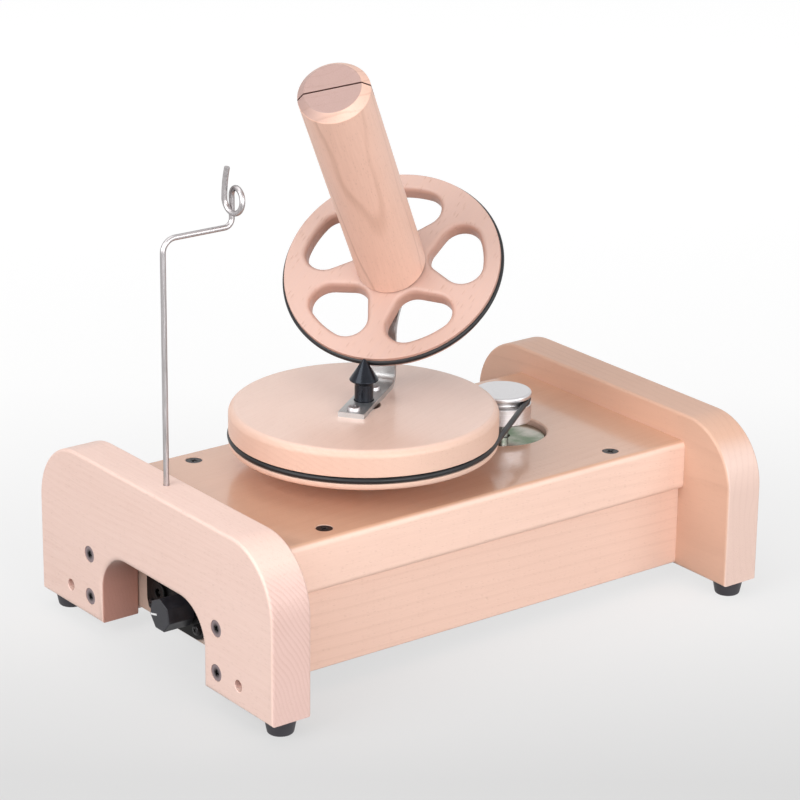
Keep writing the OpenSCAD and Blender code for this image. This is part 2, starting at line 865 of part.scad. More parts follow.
// The cables end a face gap short of what they are soldered to
module wiring() {
    board_under = deck_under - board_gap - board_t;
    rise_z = board_under - face_gap;
    rise_x = board_x - board_l / 2 + lead_in;
    pot_back = -cross_x - pot_recess + pot_l + face_gap;
    pot_z = knob_z - lead_drop;
    inlet_back = plate_front - inlet_flange_t + inlet_l + face_gap;
    plug = [board_x + terminal_x + terminal[0] / 2, -lead_y, board_under - terminal[2] - face_gap];
    motor_z = can_low + cap_t / 2;
    turn_x = motor_x - can_r - lead_turn;
    color(cable_black) on_panels() {
        cable([[pot_back, 0, pot_z], [rise_x, 0, pot_z], [rise_x, 0, rise_z]]);
        cable([[inlet_back, inlet_y, knob_z], [rise_x, inlet_y, knob_z], [rise_x, lead_y, knob_z],
            [rise_x, lead_y, rise_z]]);
        cable([plug, [plug[0], plug[1], motor_z], [turn_x, plug[1], motor_z], [turn_x, 0, motor_z],
            [motor_x - can_r - face_gap, 0, motor_z]]);
    }
}

// Motor

module motor_can() {
    color(zinc) at_motor() difference() {
        union() {
            translate([0, 0, can_low + cap_t]) difference() {
                cylinder(h = can_l - cap_t, r = can_r);
                translate([0, 0, -over]) cylinder(h = can_l - cap_t - can_wall + over, r = can_r - can_wall);
            }
            translate([0, 0, can_top - can_wall - motor_bearing_w])
                cylinder(h = motor_bearing_w, r = motor_bearing_r + seat_wall);
        }
        translate([0, 0, can_top - can_wall - motor_bearing_w - over])
            cylinder(h = motor_bearing_w + over, r = motor_bearing_r);
        translate([0, 0, can_top - can_wall - over]) cylinder(h = can_wall + 2 * over, r = shaft_hole_r);
    }
}

module motor_end_cap() {
    color(black) at_motor() translate([0, 0, can_low]) {
        cylinder(h = cap_t, r = can_r);
        translate([0, 0, cap_t]) ring(motor_bearing_w, motor_bearing_r + seat_wall, motor_bearing_r);
    }
}

module motor_magnets() {
    low = can_low + cap_t + magnet_clear;
    high = can_top - can_wall - magnet_clear;
    color(magnet_grey) for (a = [0, 180]) at_motor() rotate(a - magnet_angle / 2) translate([0, 0, low])
        rotate_extrude(angle = magnet_angle) translate([magnet_in_r, 0])
            square([can_r - can_wall - magnet_in_r, high - low]);
}

module motor_bearings() {
    color(steel) at_motor() for (z = [can_low + cap_t, can_top - can_wall - motor_bearing_w])
        translate([0, 0, z]) ring(motor_bearing_w, motor_bearing_r, shaft_r + running_gap);
}

module motor_mount_plate() {
    color(steel) difference() {
        at_motor() translate([-mount_plate_s / 2, -mount_plate_s / 2, deck_under - mount_plate_t])
            cube([mount_plate_s, mount_plate_s, mount_plate_t]);
        at_motor() translate([0, 0, deck_under - mount_plate_t - over])
            cylinder(h = mount_plate_t + 2 * over, r = can_r);
        at_mount_screws() small_hole();
    }
}

module mount_plate_screws() { color(steel) at_mount_screws() small_screw(); }

module motor_shaft() {
    color(steel) at_motor() translate([0, 0, can_low + cap_t + face_gap])
        cylinder(h = deck_z + pulley_gap + pulley_h - shaft_top_in - can_low - cap_t - face_gap, r = shaft_r);
}

module motor_armature() {
    color(copper) at_motor() translate([0, 0, can_low + cap_t + motor_bearing_w + armature_clear])
        ring(armature_l, armature_r, shaft_r);
}

// The cut for the belt round a wheel, out past its rim
module belt_groove(belt_ring_r, rim_r) {
    groove_r = belt_r + belt_gap;
    rotate_extrude() {
        translate([belt_ring_r, 0]) circle(groove_r);
        translate([belt_ring_r, -groove_r]) square([rim_r - belt_ring_r + over, 2 * groove_r]);
    }
}

// A round piece across the pulley's hub, from one distance off its axis to another
module across_hub(from, to) {
    translate([from, 0, deck_z + pulley_gap + grub_z]) rotate([0, 90, 0]) cylinder(h = to - from, r = grub_r);
}

module drive_pulley() {
    low = deck_z + pulley_gap;
    color(aluminium) at_motor() difference() {
        translate([0, 0, low]) cylinder(h = pulley_h, r = pulley_r);
        translate([0, 0, deck_z + belt_z]) belt_groove(belt_pulley_r, pulley_r);
        translate([0, 0, low - over]) cylinder(h = pulley_h - shaft_top_in + over, r = shaft_r);
        across_hub(0, pulley_r + over);
    }
}

module pulley_grub_screw() { color(black) at_motor() across_hub(shaft_r, pulley_r - grub_in); }

module drive_belt() {
    color(rubber) on_panels() translate([0, 0, deck_z + belt_z]) {
        translate([-turntable_x, 0, 0]) rotate(belt_half) rotate_extrude(angle = 360 - 2 * belt_half)
            translate([belt_turn_r, 0]) circle(belt_r);
        translate([motor_x, 0, 0]) rotate(-belt_half) rotate_extrude(angle = 2 * belt_half)
            translate([belt_pulley_r, 0]) circle(belt_r);
        for (s = sides) translate([-turntable_x, 0, 0]) rotate(s * belt_half) translate([belt_turn_r, 0, 0])
            rotate([s * 90, 0, 0]) cylinder(h = belt_run, r = belt_r);
    }
}

// Spindle and friction cone

module centre_spindle() {
    low = deck_under - spindle_washer_t - spindle_nut_h - spindle_end;
    top = table_top - post_depth;
    color(steel) at_turntable() {
        translate([0, 0, low]) cylinder(h = top - low, r = spindle_r);
        translate([0, 0, deck_z]) cylinder(h = turntable_gap - face_gap, r = collar_r);
        translate([0, 0, top]) cylinder(h = stud_l, r = stud_r);
    }
}

module spindle_washer() {
    color(steel) at_turntable() translate([0, 0, deck_under - spindle_washer_t])
        ring(spindle_washer_t, spindle_washer_r, spindle_r);
}

module spindle_nut() {
    color(steel) at_turntable() translate([0, 0, deck_under - spindle_washer_t - spindle_nut_h])
        hex_nut(spindle_nut_h, spindle_nut_r, spindle_r);
}

module retaining_ring() {
    color(steel) at_turntable() translate([0, 0, table_low + pocket_depth + face_gap])
        ring(ring_t, spindle_r + ring_out, spindle_r);
}

module friction_cone() {
    tip_r = 0.6;
    tip_z = cone_top - tip_r * cone_h / cone_r;
    under = arc([post_r, cone_z], 1, -90, 0, edge_steps);
    color(black) at_turntable() translate([0, 0, table_top]) difference() {
        rotate_extrude() polygon(concat(
            [[0, -post_depth], [post_r, -post_depth]],
            [for (p = under) [
                post_r + (p[0] - post_r) * (cone_r - post_r),
                cone_z + (p[1] - cone_z) * cone_under_h
            ]],
            [[tip_r, tip_z], [0, tip_z + tip_r / 2]]
        ));
        translate([0, 0, -post_depth - over]) cylinder(h = stud_l + over, r = stud_r);
    }
}

// Turntable and bracket

module turntable() {
    body_h = turntable_t - turntable_low_r - turntable_edge_r;
    color(beech) difference() {
        at_turntable() translate([0, 0, table_low]) difference() {
            rotate_extrude() {
                square([turntable_r - turntable_edge_r, turntable_t]);
                translate([0, turntable_low_r]) square([turntable_r, body_h]);
                square([turntable_r - turntable_low_r, turntable_t / 2]);
                translate([turntable_r - turntable_edge_r, turntable_t - turntable_edge_r])
                    circle(turntable_edge_r);
                translate([turntable_r - turntable_low_r, turntable_low_r]) circle(turntable_low_r);
            }
            translate([0, 0, belt_z - turntable_gap]) belt_groove(belt_turn_r, turntable_r);
            translate([0, 0, -over]) cylinder(h = pocket_depth + over, r = bearing_r);
            cylinder(h = turntable_t + over, r = turntable_hole_r);
        }
        at_bracket_screws() translate([0, 0, -bracket_screw_l])
            cylinder(h = bracket_screw_l + over, r = bracket_shank_r);
    }
}

module turntable_bearings() {
    color(steel) at_turntable() for (z = [table_low, table_low + bearing_w + bearing_gap])
        translate([0, 0, z]) ring(bearing_w, bearing_r, spindle_r + running_gap);
}

module bearing_spacer() {
    color(steel) at_turntable() translate([0, 0, table_low + bearing_w])
        ring(bearing_gap, bearing_r, bearing_r - spacer_wall);
}

// Middle line of the bent strip in X and Z, from its front end to the axle
function strip_line() = let (
    half = strip_t / 2,
    foot = [riser_mid, half],
    head = [riser_mid, arm_foot_z],
    front = [strip_front, half]
) concat(
    [front],
    corner(front, foot, head, foot_bend_r + half, bend_steps),
    corner(foot, head, arm_mid, head_bend_r - half, bend_steps),
    [arm_mid]
);

module axle_bracket() {
    line = strip_line();
    t = tangents(line);
    edge = [for (i = [0 : len(line) - 1]) strip_t / 2 * [-t[i][1], t[i][0]]];
    last = len(line) - 1;
    color(steel) difference() {
        union() {
            at_head() translate([0, strip_w / 2, 0]) rotate([90, 0, 0]) linear_extrude(strip_w)
                polygon(concat([for (i = [0 : last]) line[i] + edge[i]],
                    [for (i = [0 : last]) line[last - i] - edge[last - i]]));
            at_bobbin() translate([0, 0, -arm_back]) cylinder(h = strip_t, r = strip_w / 2);
        }
        at_bobbin() translate([0, 0, -arm_back - over]) cylinder(h = strip_t + 2 * over, r = axle_r);
        at_head() translate([0, 0, -over]) cylinder(h = strip_t + 2 * over, r = post_r + post_gap);
        at_bracket_screws() translate([0, 0, -strip_t - over])
            cylinder(h = strip_t + 2 * over, r = bracket_shank_r);
    }
}

module bracket_screws() {
    color(steel) at_bracket_screws()
        pan_screw(bracket_screw_l, bracket_shank_r, bracket_head_r, bracket_head_h);
}

// Bobbin, in its own frame: the wheel's front face at zero and the spool along Z

module bobbin_axle() {
    low = -arm_back - axle_nut_h - axle_end;
    color(steel) at_bobbin() translate([0, 0, low])
        cylinder(h = spool_bore_l + face_gap + top_nut_h + axle_end - low, r = axle_r);
}

module axle_nut() {
    color(steel) at_bobbin() translate([0, 0, -arm_back - axle_nut_h])
        hex_nut(axle_nut_h, axle_nut_r, axle_r);
}

module axle_washer() {
    color(steel) at_bobbin() translate([0, 0, -wheel_t - arm_gap]) ring(washer_t, spacer_r, axle_r);
}

module axle_spacer() {
    low = -wheel_t + bobbin_bearing_w + face_gap;
    color(steel) at_bobbin() translate([0, 0, low])
        ring(spool_bore_l - bobbin_bearing_w - face_gap - low, spacer_r, axle_r);
}

module axle_top_nut() {
    color(steel) at_bobbin() translate([0, 0, spool_bore_l + face_gap])
        hex_nut(top_nut_h, top_nut_r, axle_r);
}

// Outline of one lightening hole: an egg with its narrow end towards the hub
module lightening_hole() {
    a = hole_half_angle;
    wide = (hole_out_r - hole_corner_r) * [cos(a), sin(a)];
    tip = [hole_in_r + hole_tip_r, 0];
    span = wide - tip;
    slant = atan2(span[1], span[0]) + acos((hole_tip_r - hole_corner_r) / norm(span));
    low_side = [wide[0], -wide[1]];
    polygon(concat(
        arc([0, 0], hole_out_r, -a, a, edge_steps),
        arc(wide, hole_corner_r, a, slant, hole_steps),
        arc(tip, hole_tip_r, slant, 360 - slant, hole_steps),
        arc(low_side, hole_corner_r, 360 - slant, 360 - a, hole_steps)
    ));
}

module bobbin_wheel() {
    color(beech) at_bobbin() difference() {
        rotate_extrude() difference() {
            union() {
                translate([0, -wheel_t]) square([wheel_r - wheel_edge_r, wheel_t]);
                translate([0, wheel_edge_r - wheel_t]) square([wheel_r, wheel_t - 2 * wheel_edge_r]);
                for (y = [-wheel_edge_r, wheel_edge_r - wheel_t])
                    translate([wheel_r - wheel_edge_r, y]) circle(wheel_edge_r);
            }
            translate([tyre_ring_r, -tyre_depth]) circle(tyre_r);
            translate([0, -wheel_t - over]) square([bobbin_bearing_r, wheel_t + 2 * over]);
        }
        for (i = [0 : wheel_holes - 1]) rotate(360 * (i + 0.5) / wheel_holes)
            translate([0, 0, -wheel_t - over]) linear_extrude(wheel_t + 2 * over) lightening_hole();
    }
}

module spool() {
    color(beech) at_bobbin() difference() {
        rotate_extrude() polygon(concat(
            [[0, 0]],
            arc([spool_r - spool_round_r, spool_round_r], spool_round_r, -90, 0, edge_steps),
            [[spool_r, spool_l - spool_chamfer], [spool_r - spool_chamfer, spool_l], [0, spool_l]]
        ));
        translate([0, 0, -over]) cylinder(h = spool_bore_l + over, r = bobbin_bearing_r);
        cylinder(h = spool_bore_l + nut_bore_l, r = nut_bore_r);
        rotate(slit_dir) translate([-spool_r - over, -slit_w / 2, spool_l - slit_depth])
            cube([2 * (spool_r + over), slit_w, slit_depth + over]);
    }
}

module tyre_ring() {
    color(rubber) at_bobbin() rotate_extrude() translate([tyre_ring_r, -tyre_depth]) circle(tyre_r);
}

module bobbin_bearings() {
    color(steel) at_bobbin() for (z = [-wheel_t, spool_bore_l - bobbin_bearing_w])
        translate([0, 0, z]) ring(bobbin_bearing_w, bobbin_bearing_r, axle_r + running_gap);
}

// Knob, drawn along Z from the cross board outwards

module knob_grub(from, l) {
    translate([0, 0, -knob_back + knob_grub_z]) rotate([0, -90, pointer_angle]) translate([0, 0, from])
        cylinder(h = l, r = knob_grub_r);
}

module pointer_line() {
    translate([0, 0, -knob_back + knob_l - pointer_t]) rotate(pointer_angle)
        translate([knob_r - pointer_in - pointer_l, -pointer_w / 2, 0])
            cube([pointer_l, pointer_w, pointer_t]);
}

module speed_knob() {
    color(black) at_knob() difference() {
        translate([0, 0, -knob_back]) rotate(pointer_angle)
            cylinder(h = knob_l, r = knob_r, $fn = knob_sides);
        translate([0, 0, -knob_back - over]) cylinder(h = knob_recess_l + over, r = knob_recess_r);
        translate([0, 0, -knob_back]) cylinder(h = knob_l - knob_face_t, r = pot_shaft_r);
        knob_grub(0, knob_r);
        pointer_line();
    }
}

module knob_pointer() { color("white") at_knob() pointer_line(); }

module knob_grub_screw() {
    flat_r = knob_r * cos(180 / knob_sides);
    color(brass) at_knob() knob_grub(pot_shaft_r, flat_r - pot_shaft_r - knob_grub_in);
}

module pot_shaft() {
    low = cross_x + pot_recess - pot_l / 2 + face_gap;
    color(steel) at_knob() translate([0, 0, low])
        cylinder(h = -knob_back + knob_l - knob_face_t - low, r = pot_shaft_r);
}

// Yarn guide: an exact post in the panel's hole, and a bent wire from the elbow to the tail

function guide_line() = let (
    low = [0, 0, guide_h - 2 * guide_bend_r],
    elbow = [0, 0, guide_h],
    tip = [guide_arm, 0, guide_h],
    eye = [guide_arm, 0, guide_h + eye_z],
    tail = [guide_arm - eye_pitch, 0, guide_h + eye_z]
) concat(
    [low],
    corner(low, elbow, tip, guide_bend_r, wire_steps),
    corner(elbow, tip, eye, guide_tip_r, wire_steps),
    [for (i = [0 : eye_steps]) let (s = i / eye_steps)
        eye + [-eye_pitch * s, eye_r * (cos(360 * s) - 1), eye_r * sin(360 * s)]],
    [tail + [0, -tail_lean / 4, tail_l / 2], tail + [0, -tail_lean, tail_l]]
);

module yarn_guide() {
    // The bent wire is a hair thinner than the post that its lower end is inside
    slim = 0.03;
    post_top = guide_h - 1.5 * guide_bend_r;
    color(steel) at_guide() {
        translate([0, 0, face_gap - guide_depth]) cylinder(h = guide_depth - face_gap + post_top, r = wire_r);
        tube(guide_line(), wire_r - slim, wire_sides, [0, 1, 0]);
    }
}

left_end_panel();
right_end_panel();
deck_board();
front_rail();
rear_rail();
left_cross_board();
right_cross_board();
bottom_cover();
cover_cleats();
cover_screws();
rubber_feet();
foot_screws();
panel_screws();
deck_screws();
control_plate();
plate_screws();
potentiometer();
pot_nut();
power_inlet();
circuit_board();
board_standoffs();
board_components();
wiring();
motor_can();
motor_end_cap();
motor_magnets();
motor_bearings();
motor_mount_plate();
mount_plate_screws();
centre_spindle();
spindle_washer();
spindle_nut();
retaining_ring();
friction_cone();
drive_belt();
turntable();
turntable_bearings();
bearing_spacer();
axle_bracket();
bracket_screws();
bobbin_axle();
axle_nut();
axle_washer();
axle_spacer();
axle_top_nut();
bobbin_wheel();
spool();
tyre_ring();
bobbin_bearings();
motor_shaft();
motor_armature();
drive_pulley();
pulley_grub_screw();
speed_knob();
knob_pointer();
knob_grub_screw();
pot_shaft();
yarn_guide();
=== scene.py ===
# %% [markdown]
# # Dressing a beech yarn ball winder
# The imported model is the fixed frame: every piece below sits where the frame says, in metres, and rides on
# one of its bodies. The wood is rebuilt with eased edges, what repeats comes from Geometry Nodes, and
# every finish is made of shader nodes. Nothing in the frame is moved.

import json
from math import acos, atan2, cos, pi, radians, sin, tan

import bmesh
import bpy
from mathutils import Matrix, Vector
from mathutils.geometry import tessellate_polygon

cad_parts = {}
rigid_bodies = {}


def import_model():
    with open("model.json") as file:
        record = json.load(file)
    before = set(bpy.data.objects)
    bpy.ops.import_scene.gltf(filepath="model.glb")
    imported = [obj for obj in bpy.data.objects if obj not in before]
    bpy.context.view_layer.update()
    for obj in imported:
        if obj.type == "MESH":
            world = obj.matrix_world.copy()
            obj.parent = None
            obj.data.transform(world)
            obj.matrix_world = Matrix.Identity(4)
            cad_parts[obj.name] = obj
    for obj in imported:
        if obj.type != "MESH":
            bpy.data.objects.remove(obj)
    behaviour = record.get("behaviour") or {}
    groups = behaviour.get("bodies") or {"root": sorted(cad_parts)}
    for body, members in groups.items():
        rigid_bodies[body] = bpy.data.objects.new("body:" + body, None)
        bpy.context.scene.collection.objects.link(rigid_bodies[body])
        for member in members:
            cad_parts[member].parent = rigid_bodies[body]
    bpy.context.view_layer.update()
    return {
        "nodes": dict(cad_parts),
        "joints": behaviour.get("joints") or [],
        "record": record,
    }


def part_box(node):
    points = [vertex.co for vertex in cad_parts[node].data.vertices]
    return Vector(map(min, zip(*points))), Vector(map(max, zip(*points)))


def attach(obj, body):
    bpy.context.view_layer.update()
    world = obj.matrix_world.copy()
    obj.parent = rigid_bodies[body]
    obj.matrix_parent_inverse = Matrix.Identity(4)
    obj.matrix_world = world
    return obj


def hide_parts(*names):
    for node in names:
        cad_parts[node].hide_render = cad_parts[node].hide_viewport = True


for leftover in list(bpy.data.objects):
    bpy.data.objects.remove(leftover)
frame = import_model()
joints = {joint["name"]: joint for joint in frame["joints"]}
MM = 0.001
TURN_AXIS = Vector(joints["turntable_spin"]["pos_m"])
MOTOR_AXIS = Vector(joints["motor_spin"]["pos_m"])
KNOB_AXIS = Vector(joints["knob_turn"]["pos_m"])
GUIDE_AXIS = Vector(joints["guide_swivel"]["pos_m"])
BOBBIN_ORIGIN = Vector(joints["bobbin_spin"]["pos_m"])
BOBBIN_AXIS = Vector(joints["bobbin_spin"]["axis"]).normalized()

# %% [markdown]
# Three small jobs come up again and again: putting an object into the scene, turning a shape that is still
# being edited into a plain mesh, and taking the mesh that an object's modifiers give.


# %% Small helpers
def linked(name, data):
    """A new object with that data, in the scene."""
    obj = bpy.data.objects.new(name, data)
    bpy.context.scene.collection.objects.link(obj)
    return obj


def settled(shape, name):
    """A plain mesh. A shape that is still being edited is turned into one and used up."""
    if isinstance(shape, bpy.types.Mesh):
        return shape
    data = bpy.data.meshes.new(name)
    shape.to_mesh(data)
    shape.free()
    return data


def modified(obj):
    """The plain mesh that an object's modifiers give. The object is removed."""
    graph = bpy.context.evaluated_depsgraph_get()
    mesh = bpy.data.meshes.new_from_object(obj.evaluated_get(graph))
    bpy.data.objects.remove(obj)
    return mesh


print("helpers are ready")

# %% [markdown]
# ## The camera
# The photograph looks down on the winder from its front left corner, from far away, so a long lens keeps
# the base's edges nearly parallel. The angles, the distance and a slight roll were worked out from the
# screws and corners of the base, whose real places are known.

# %% Camera
CAMERA_AZIMUTH = radians(-37.383)
CAMERA_ELEVATION = radians(19.667)
CAMERA_ROLL = radians(0.659)
CAMERA_DISTANCE = 1630.2 * MM
CAMERA_TARGET = Vector((-130.4, -166.7, 204.1)) * MM
SENSOR_WIDTH = 36.0
FOCAL_LENGTH = 139.34
VIEW_END = 50

back = Vector((
    sin(CAMERA_AZIMUTH) * cos(CAMERA_ELEVATION),
    -cos(CAMERA_AZIMUTH) * cos(CAMERA_ELEVATION),
    sin(CAMERA_ELEVATION),
))
right = (-back).cross(Vector((0, 0, 1))).normalized()
up = right.cross(-back)
rolled_right = cos(CAMERA_ROLL) * right + sin(CAMERA_ROLL) * up
rolled_up = cos(CAMERA_ROLL) * up - sin(CAMERA_ROLL) * right
camera_data = bpy.data.cameras.new("Camera")
camera_data.sensor_width = SENSOR_WIDTH
camera_data.lens = FOCAL_LENGTH
camera_data.clip_end = VIEW_END
camera = linked("Camera", camera_data)
camera.matrix_world = Matrix((rolled_right, rolled_up, back)).transposed().to_4x4()
camera.location = CAMERA_TARGET + CAMERA_DISTANCE * back
bpy.context.scene.camera = camera
print("camera at", tuple(round(c, 3) for c in camera.location))

# %% [markdown]
# ## Writing nodes in few lines
# A finish is a net of nodes. This small class adds a node, sets its values and links whatever socket it is
# given, so that a formula reads almost like arithmetic.


# %% Node helper
ZERO = (0.0, 0.0, 0.0)


class Net:
    """Adds nodes to one tree, and feeds each input with a value or with another node's output."""

    def __init__(self, tree):
        self.tree = tree

    def feed(self, socket, value):
        if isinstance(value, bpy.types.NodeSocket):
            self.tree.links.new(value, socket)
        else:
            socket.default_value = value

    def node(self, kind, inputs=(), **settings):
        made = self.tree.nodes.new(kind)
        for setting, value in settings.items():
            setattr(made, setting, value)
        for socket, value in dict(inputs).items():
            self.feed(made.inputs[socket], value)
        return made

    def math(self, operation, *values):
        return self.node("ShaderNodeMath", enumerate(values), operation=operation).outputs[0]

    def vector(self, operation, *values):
        return self.node("ShaderNodeVectorMath", enumerate(values), operation=operation).outputs

    def scaled(self, place, along, across):
        return self.vector("MULTIPLY", place, (along, across, across))["Vector"]

    def length(self, place):
        return self.vector("LENGTH", place)["Value"]

    def parts(self, place):
        return self.node("ShaderNodeSeparateXYZ", {0: place}).outputs

    def joined(self, **parts):
        return self.node("ShaderNodeCombineXYZ", parts).outputs[0]

    def noise(self, place, detail=2.0, scale=1.0):
        inputs = {"Vector": place, "Scale": scale, "Detail": detail}
        return self.node("ShaderNodeTexNoise", inputs).outputs[0]

    def step(self, value, low, high, from_value=0.0, to_value=1.0):
        inputs = {0: value, 1: low, 2: high, 3: from_value, 4: to_value}
        return self.node("ShaderNodeMapRange", inputs, interpolation_type="SMOOTHSTEP").outputs[0]

    def blend(self, share, first, second, mode="MIX"):
        inputs = {0: share, 6: first, 7: second}
        return self.node("ShaderNodeMix", inputs, data_type="RGBA", blend_type=mode).outputs[2]

    def group(self, tree, place, values):
        """A node for a shader group, with its place and its named values fed in."""
        made = self.node("ShaderNodeGroup", {"Vector": place}, node_tree=tree)
        for label, value in values.items():
            self.feed(made.inputs[label.replace("_", " ").capitalize()], value)
        return made


def shader_group(name, inputs, outputs):
    """An empty shader node group with named sockets, its net, its inputs and its outputs."""
    tree = bpy.data.node_groups.new(name, "ShaderNodeTree")
    for label, default in inputs.items():
        size = len(default) if isinstance(default, tuple) else 1
        kind = {1: "Float", 3: "Vector", 4: "Color"}[size]
        socket = tree.interface.new_socket(label, in_out="INPUT", socket_type="NodeSocket" + kind)
        socket.default_value = default
    for label, kind in outputs.items():
        tree.interface.new_socket(label, in_out="OUTPUT", socket_type="NodeSocket" + kind)
    net = Net(tree)
    return tree, net, net.node("NodeGroupInput").outputs, net.node("NodeGroupOutput").inputs


print("nodes can be written")

# %% [markdown]
# ## Beech as a solid
# Beech is pale and pinkish, with thin darker lines where each year's growth ended and thousands of short
# brown flecks along the grain. Painting the faces one by one would never meet at the edges. So the group
# below makes the wood in space, as a tree does: rings round a pith, stretched along the grain. A board
# then shows lines on its faces, arcs on its ends and dots where the flecks are cut across. Ends take a tone
# of their own, which on some boards also holds painted shade or light. Top faces take a painted light or
# shade tone, and the end-grain walls inside a panel's arch take a painted shade, all by the way they face.
# A pair of numbers below says how many waves there are in a metre, along and across the grain, or from
# where to where a step rises.

# %% Beech grain group
PALE_BEECH = (0.880, 0.635, 0.540, 1.0)
DEEP_BEECH = (0.590, 0.330, 0.235, 1.0)
FLECK_BROWN = (0.420, 0.225, 0.155, 1.0)
END_BEECH = (0.960, 0.950, 0.955, 1.0)
NO_TONE = (1.0, 1.0, 1.0, 1.0)
# Painted shade for the end-grain walls inside the panels' arch, where little light reaches.
ARCH_SHADE_BEECH = (0.72, 0.52, 0.46, 1.0)
SWAY_WAVES = (5, 22)
PATCH_WAVES = (6, 17)
FIBRE_WAVES = (40, 1300)
CLOUD_WAVES = (4, 15)
FLECK_WAVES = (250, 1250)
FLECK_EDGE = (0.12, 0.36)
FLECK_CHOICE = (0.35, 0.75)
END_STEP = (0.6, 0.9)
TOP_SHADING_STEP = (0.6, 0.95)
LACQUER_STEP = (0.93, 0.995)
RING_SWAY = 14 * MM
LINE_PEAK = 0.93
CLOUD_STRENGTH = 0.24
LEAST_TONE = 0.06
SATIN_ROUGHNESS = 0.44

beech_group, net, given, put = shader_group(
    "Beech grain",
    {
        "Vector": ZERO,
        "Normal": ZERO,
        "Grain way": (1.0, 0.0, 0.0),
        "Top way": (0.0, 0.0, 1.0),
        "Ring width": 3.4 * MM,
        "Ring strength": 0.10,
        "End strength": 0.35,
        "Line start": 0.35,
        "Fleck strength": 0.25,
        "Fleck size": 1.0,
        "Fibre strength": 0.20,
        "Taper": 0.02,
        "Pale": PALE_BEECH,
        "Deep": DEEP_BEECH,
        "End tone": END_BEECH,
        "Top tone": NO_TONE,
        "Sawn half": 0.0,
        "Arch shade tone": ARCH_SHADE_BEECH,
    },
    {"Color": "Color", "Roughness": "Float", "Height": "Float", "Top": "Float"},
)
wood = given["Vector"]
sway = net.math("SUBTRACT", net.noise(net.scaled(wood, *SWAY_WAVES)), 0.5)
along_grain = net.parts(wood)["X"]
from_pith = net.math("MULTIPLY_ADD", along_grain, given["Taper"], net.length(net.scaled(wood, 0, 1)))
ring_place = net.math("DIVIDE", net.math("MULTIPLY_ADD", sway, RING_SWAY, from_pith), given["Ring width"])
ring_part = net.math("FRACT", ring_place)
line_rise = net.step(ring_part, given["Line start"], LINE_PEAK)
late_wood = net.math("MULTIPLY", line_rise, net.step(ring_part, LINE_PEAK, 1.0, 1.0, 0.0))
facing_end, facing_up = (
    net.vector("DOT_PRODUCT", given["Normal"], given[way])["Value"] for way in ("Grain way", "Top way")
)
end_grain = net.step(net.math("ABSOLUTE", facing_end), *END_STEP)
# Painted shade: end-grain faces within this half-width of the arch take the darker arch tone.
in_arch_span = net.math("LESS_THAN", net.math("ABSOLUTE", along_grain), given["Sawn half"])
sawn = net.math("MULTIPLY", end_grain, in_arch_span)
ring_strength = net.node("ShaderNodeMix", {
    0: net.math("SUBTRACT", end_grain, sawn), 2: given["Ring strength"], 3: given["End strength"],
}).outputs[0]
patches = net.step(net.noise(net.scaled(wood, *PATCH_WAVES)), 0.3, 0.7, 0.25, 1.0)
rings = net.math("MULTIPLY", net.math("MULTIPLY", late_wood, patches), ring_strength)
fibres = net.math("SUBTRACT", net.noise(net.scaled(wood, *FIBRE_WAVES)), 0.5)
clouds = net.math("SUBTRACT", net.noise(net.scaled(wood, *CLOUD_WAVES), 3.0), 0.5)
tone = net.math("MULTIPLY_ADD", clouds, CLOUD_STRENGTH, rings)
tone = net.math("MULTIPLY_ADD", fibres, given["Fibre strength"], tone)
tone = net.node("ShaderNodeClamp", {0: net.math("ADD", tone, LEAST_TONE)}).outputs[0]
fleck_scale = net.math("DIVIDE", 1.0, given["Fleck size"])
fleck_place = net.scaled(wood, *FLECK_WAVES)
cells = net.node("ShaderNodeTexVoronoi", {"Vector": fleck_place, "Scale": fleck_scale})
kept = net.node("ShaderNodeSeparateColor", {0: cells.outputs["Color"]}).outputs[0]
fleck_shape = net.step(cells.outputs["Distance"], *FLECK_EDGE, 1.0, 0.0)
flecks = net.math("MULTIPLY", fleck_shape, net.step(kept, *FLECK_CHOICE))
fleck_share = net.math("MULTIPLY", flecks, given["Fleck strength"])
plain = net.blend(tone, given["Pale"], given["Deep"])
# End grain takes its own tone; on the spool and the right panel that tone also holds painted shade or light.
plain = net.blend(end_grain, plain, given["End tone"], "MULTIPLY")
# Painted light or shade: faces turned to the top way take a lighter or darker tone.
plain = net.blend(net.step(facing_up, *TOP_SHADING_STEP), plain, given["Top tone"], "MULTIPLY")
plain = net.blend(sawn, plain, given["Arch shade tone"], "MULTIPLY")
net.feed(put["Color"], net.blend(fleck_share, plain, FLECK_BROWN))
satin = net.math("MULTIPLY_ADD", fibres, 0.16, SATIN_ROUGHNESS)
net.feed(put["Roughness"], net.math("MULTIPLY_ADD", fleck_share, 0.25, satin))
net.feed(put["Height"], net.math("SUBTRACT", net.math("MULTIPLY", fibres, 0.35), flecks))
net.feed(put["Top"], net.step(facing_up, *LACQUER_STEP))
print("beech group has", len(beech_group.nodes), "nodes")

# %% [markdown]
# Each board is its own piece of the tree. Its material only says where the grain runs and where the pith
# was, which turns and shifts the same wood. The lacquer is a thin coat on top faces, glossiest on the deck.


# %% Beech boards
GRAIN_BUMP = 0.12 * MM


def principled(name):
    """A new material, its net and its shader."""
    material = bpy.data.materials.new(name)
    material.use_nodes = True
    material.node_tree.nodes.clear()
    net = Net(material.node_tree)
    shader = net.node("ShaderNodeBsdfPrincipled")
    net.node("ShaderNodeOutputMaterial", {0: shader.outputs[0]})
    return material, net, shader


def placed(net, axis, origin):
    """Object coordinates turned so that axis lies along X and origin is at zero."""
    turn = Vector(axis).rotation_difference(Vector((1, 0, 0))).to_matrix()
    shift = turn @ -Vector(origin)
    place = net.node("ShaderNodeTexCoord").outputs["Object"]
    inputs = {"Vector": place, "Location": shift, "Rotation": turn.to_euler("XYZ")}
    return net.node("ShaderNodeMapping", inputs).outputs[0]


def bumped(net, height, depth):
    return net.node("ShaderNodeBump", {"Height": height, "Distance": depth, "Strength": 1.0}).outputs[0]


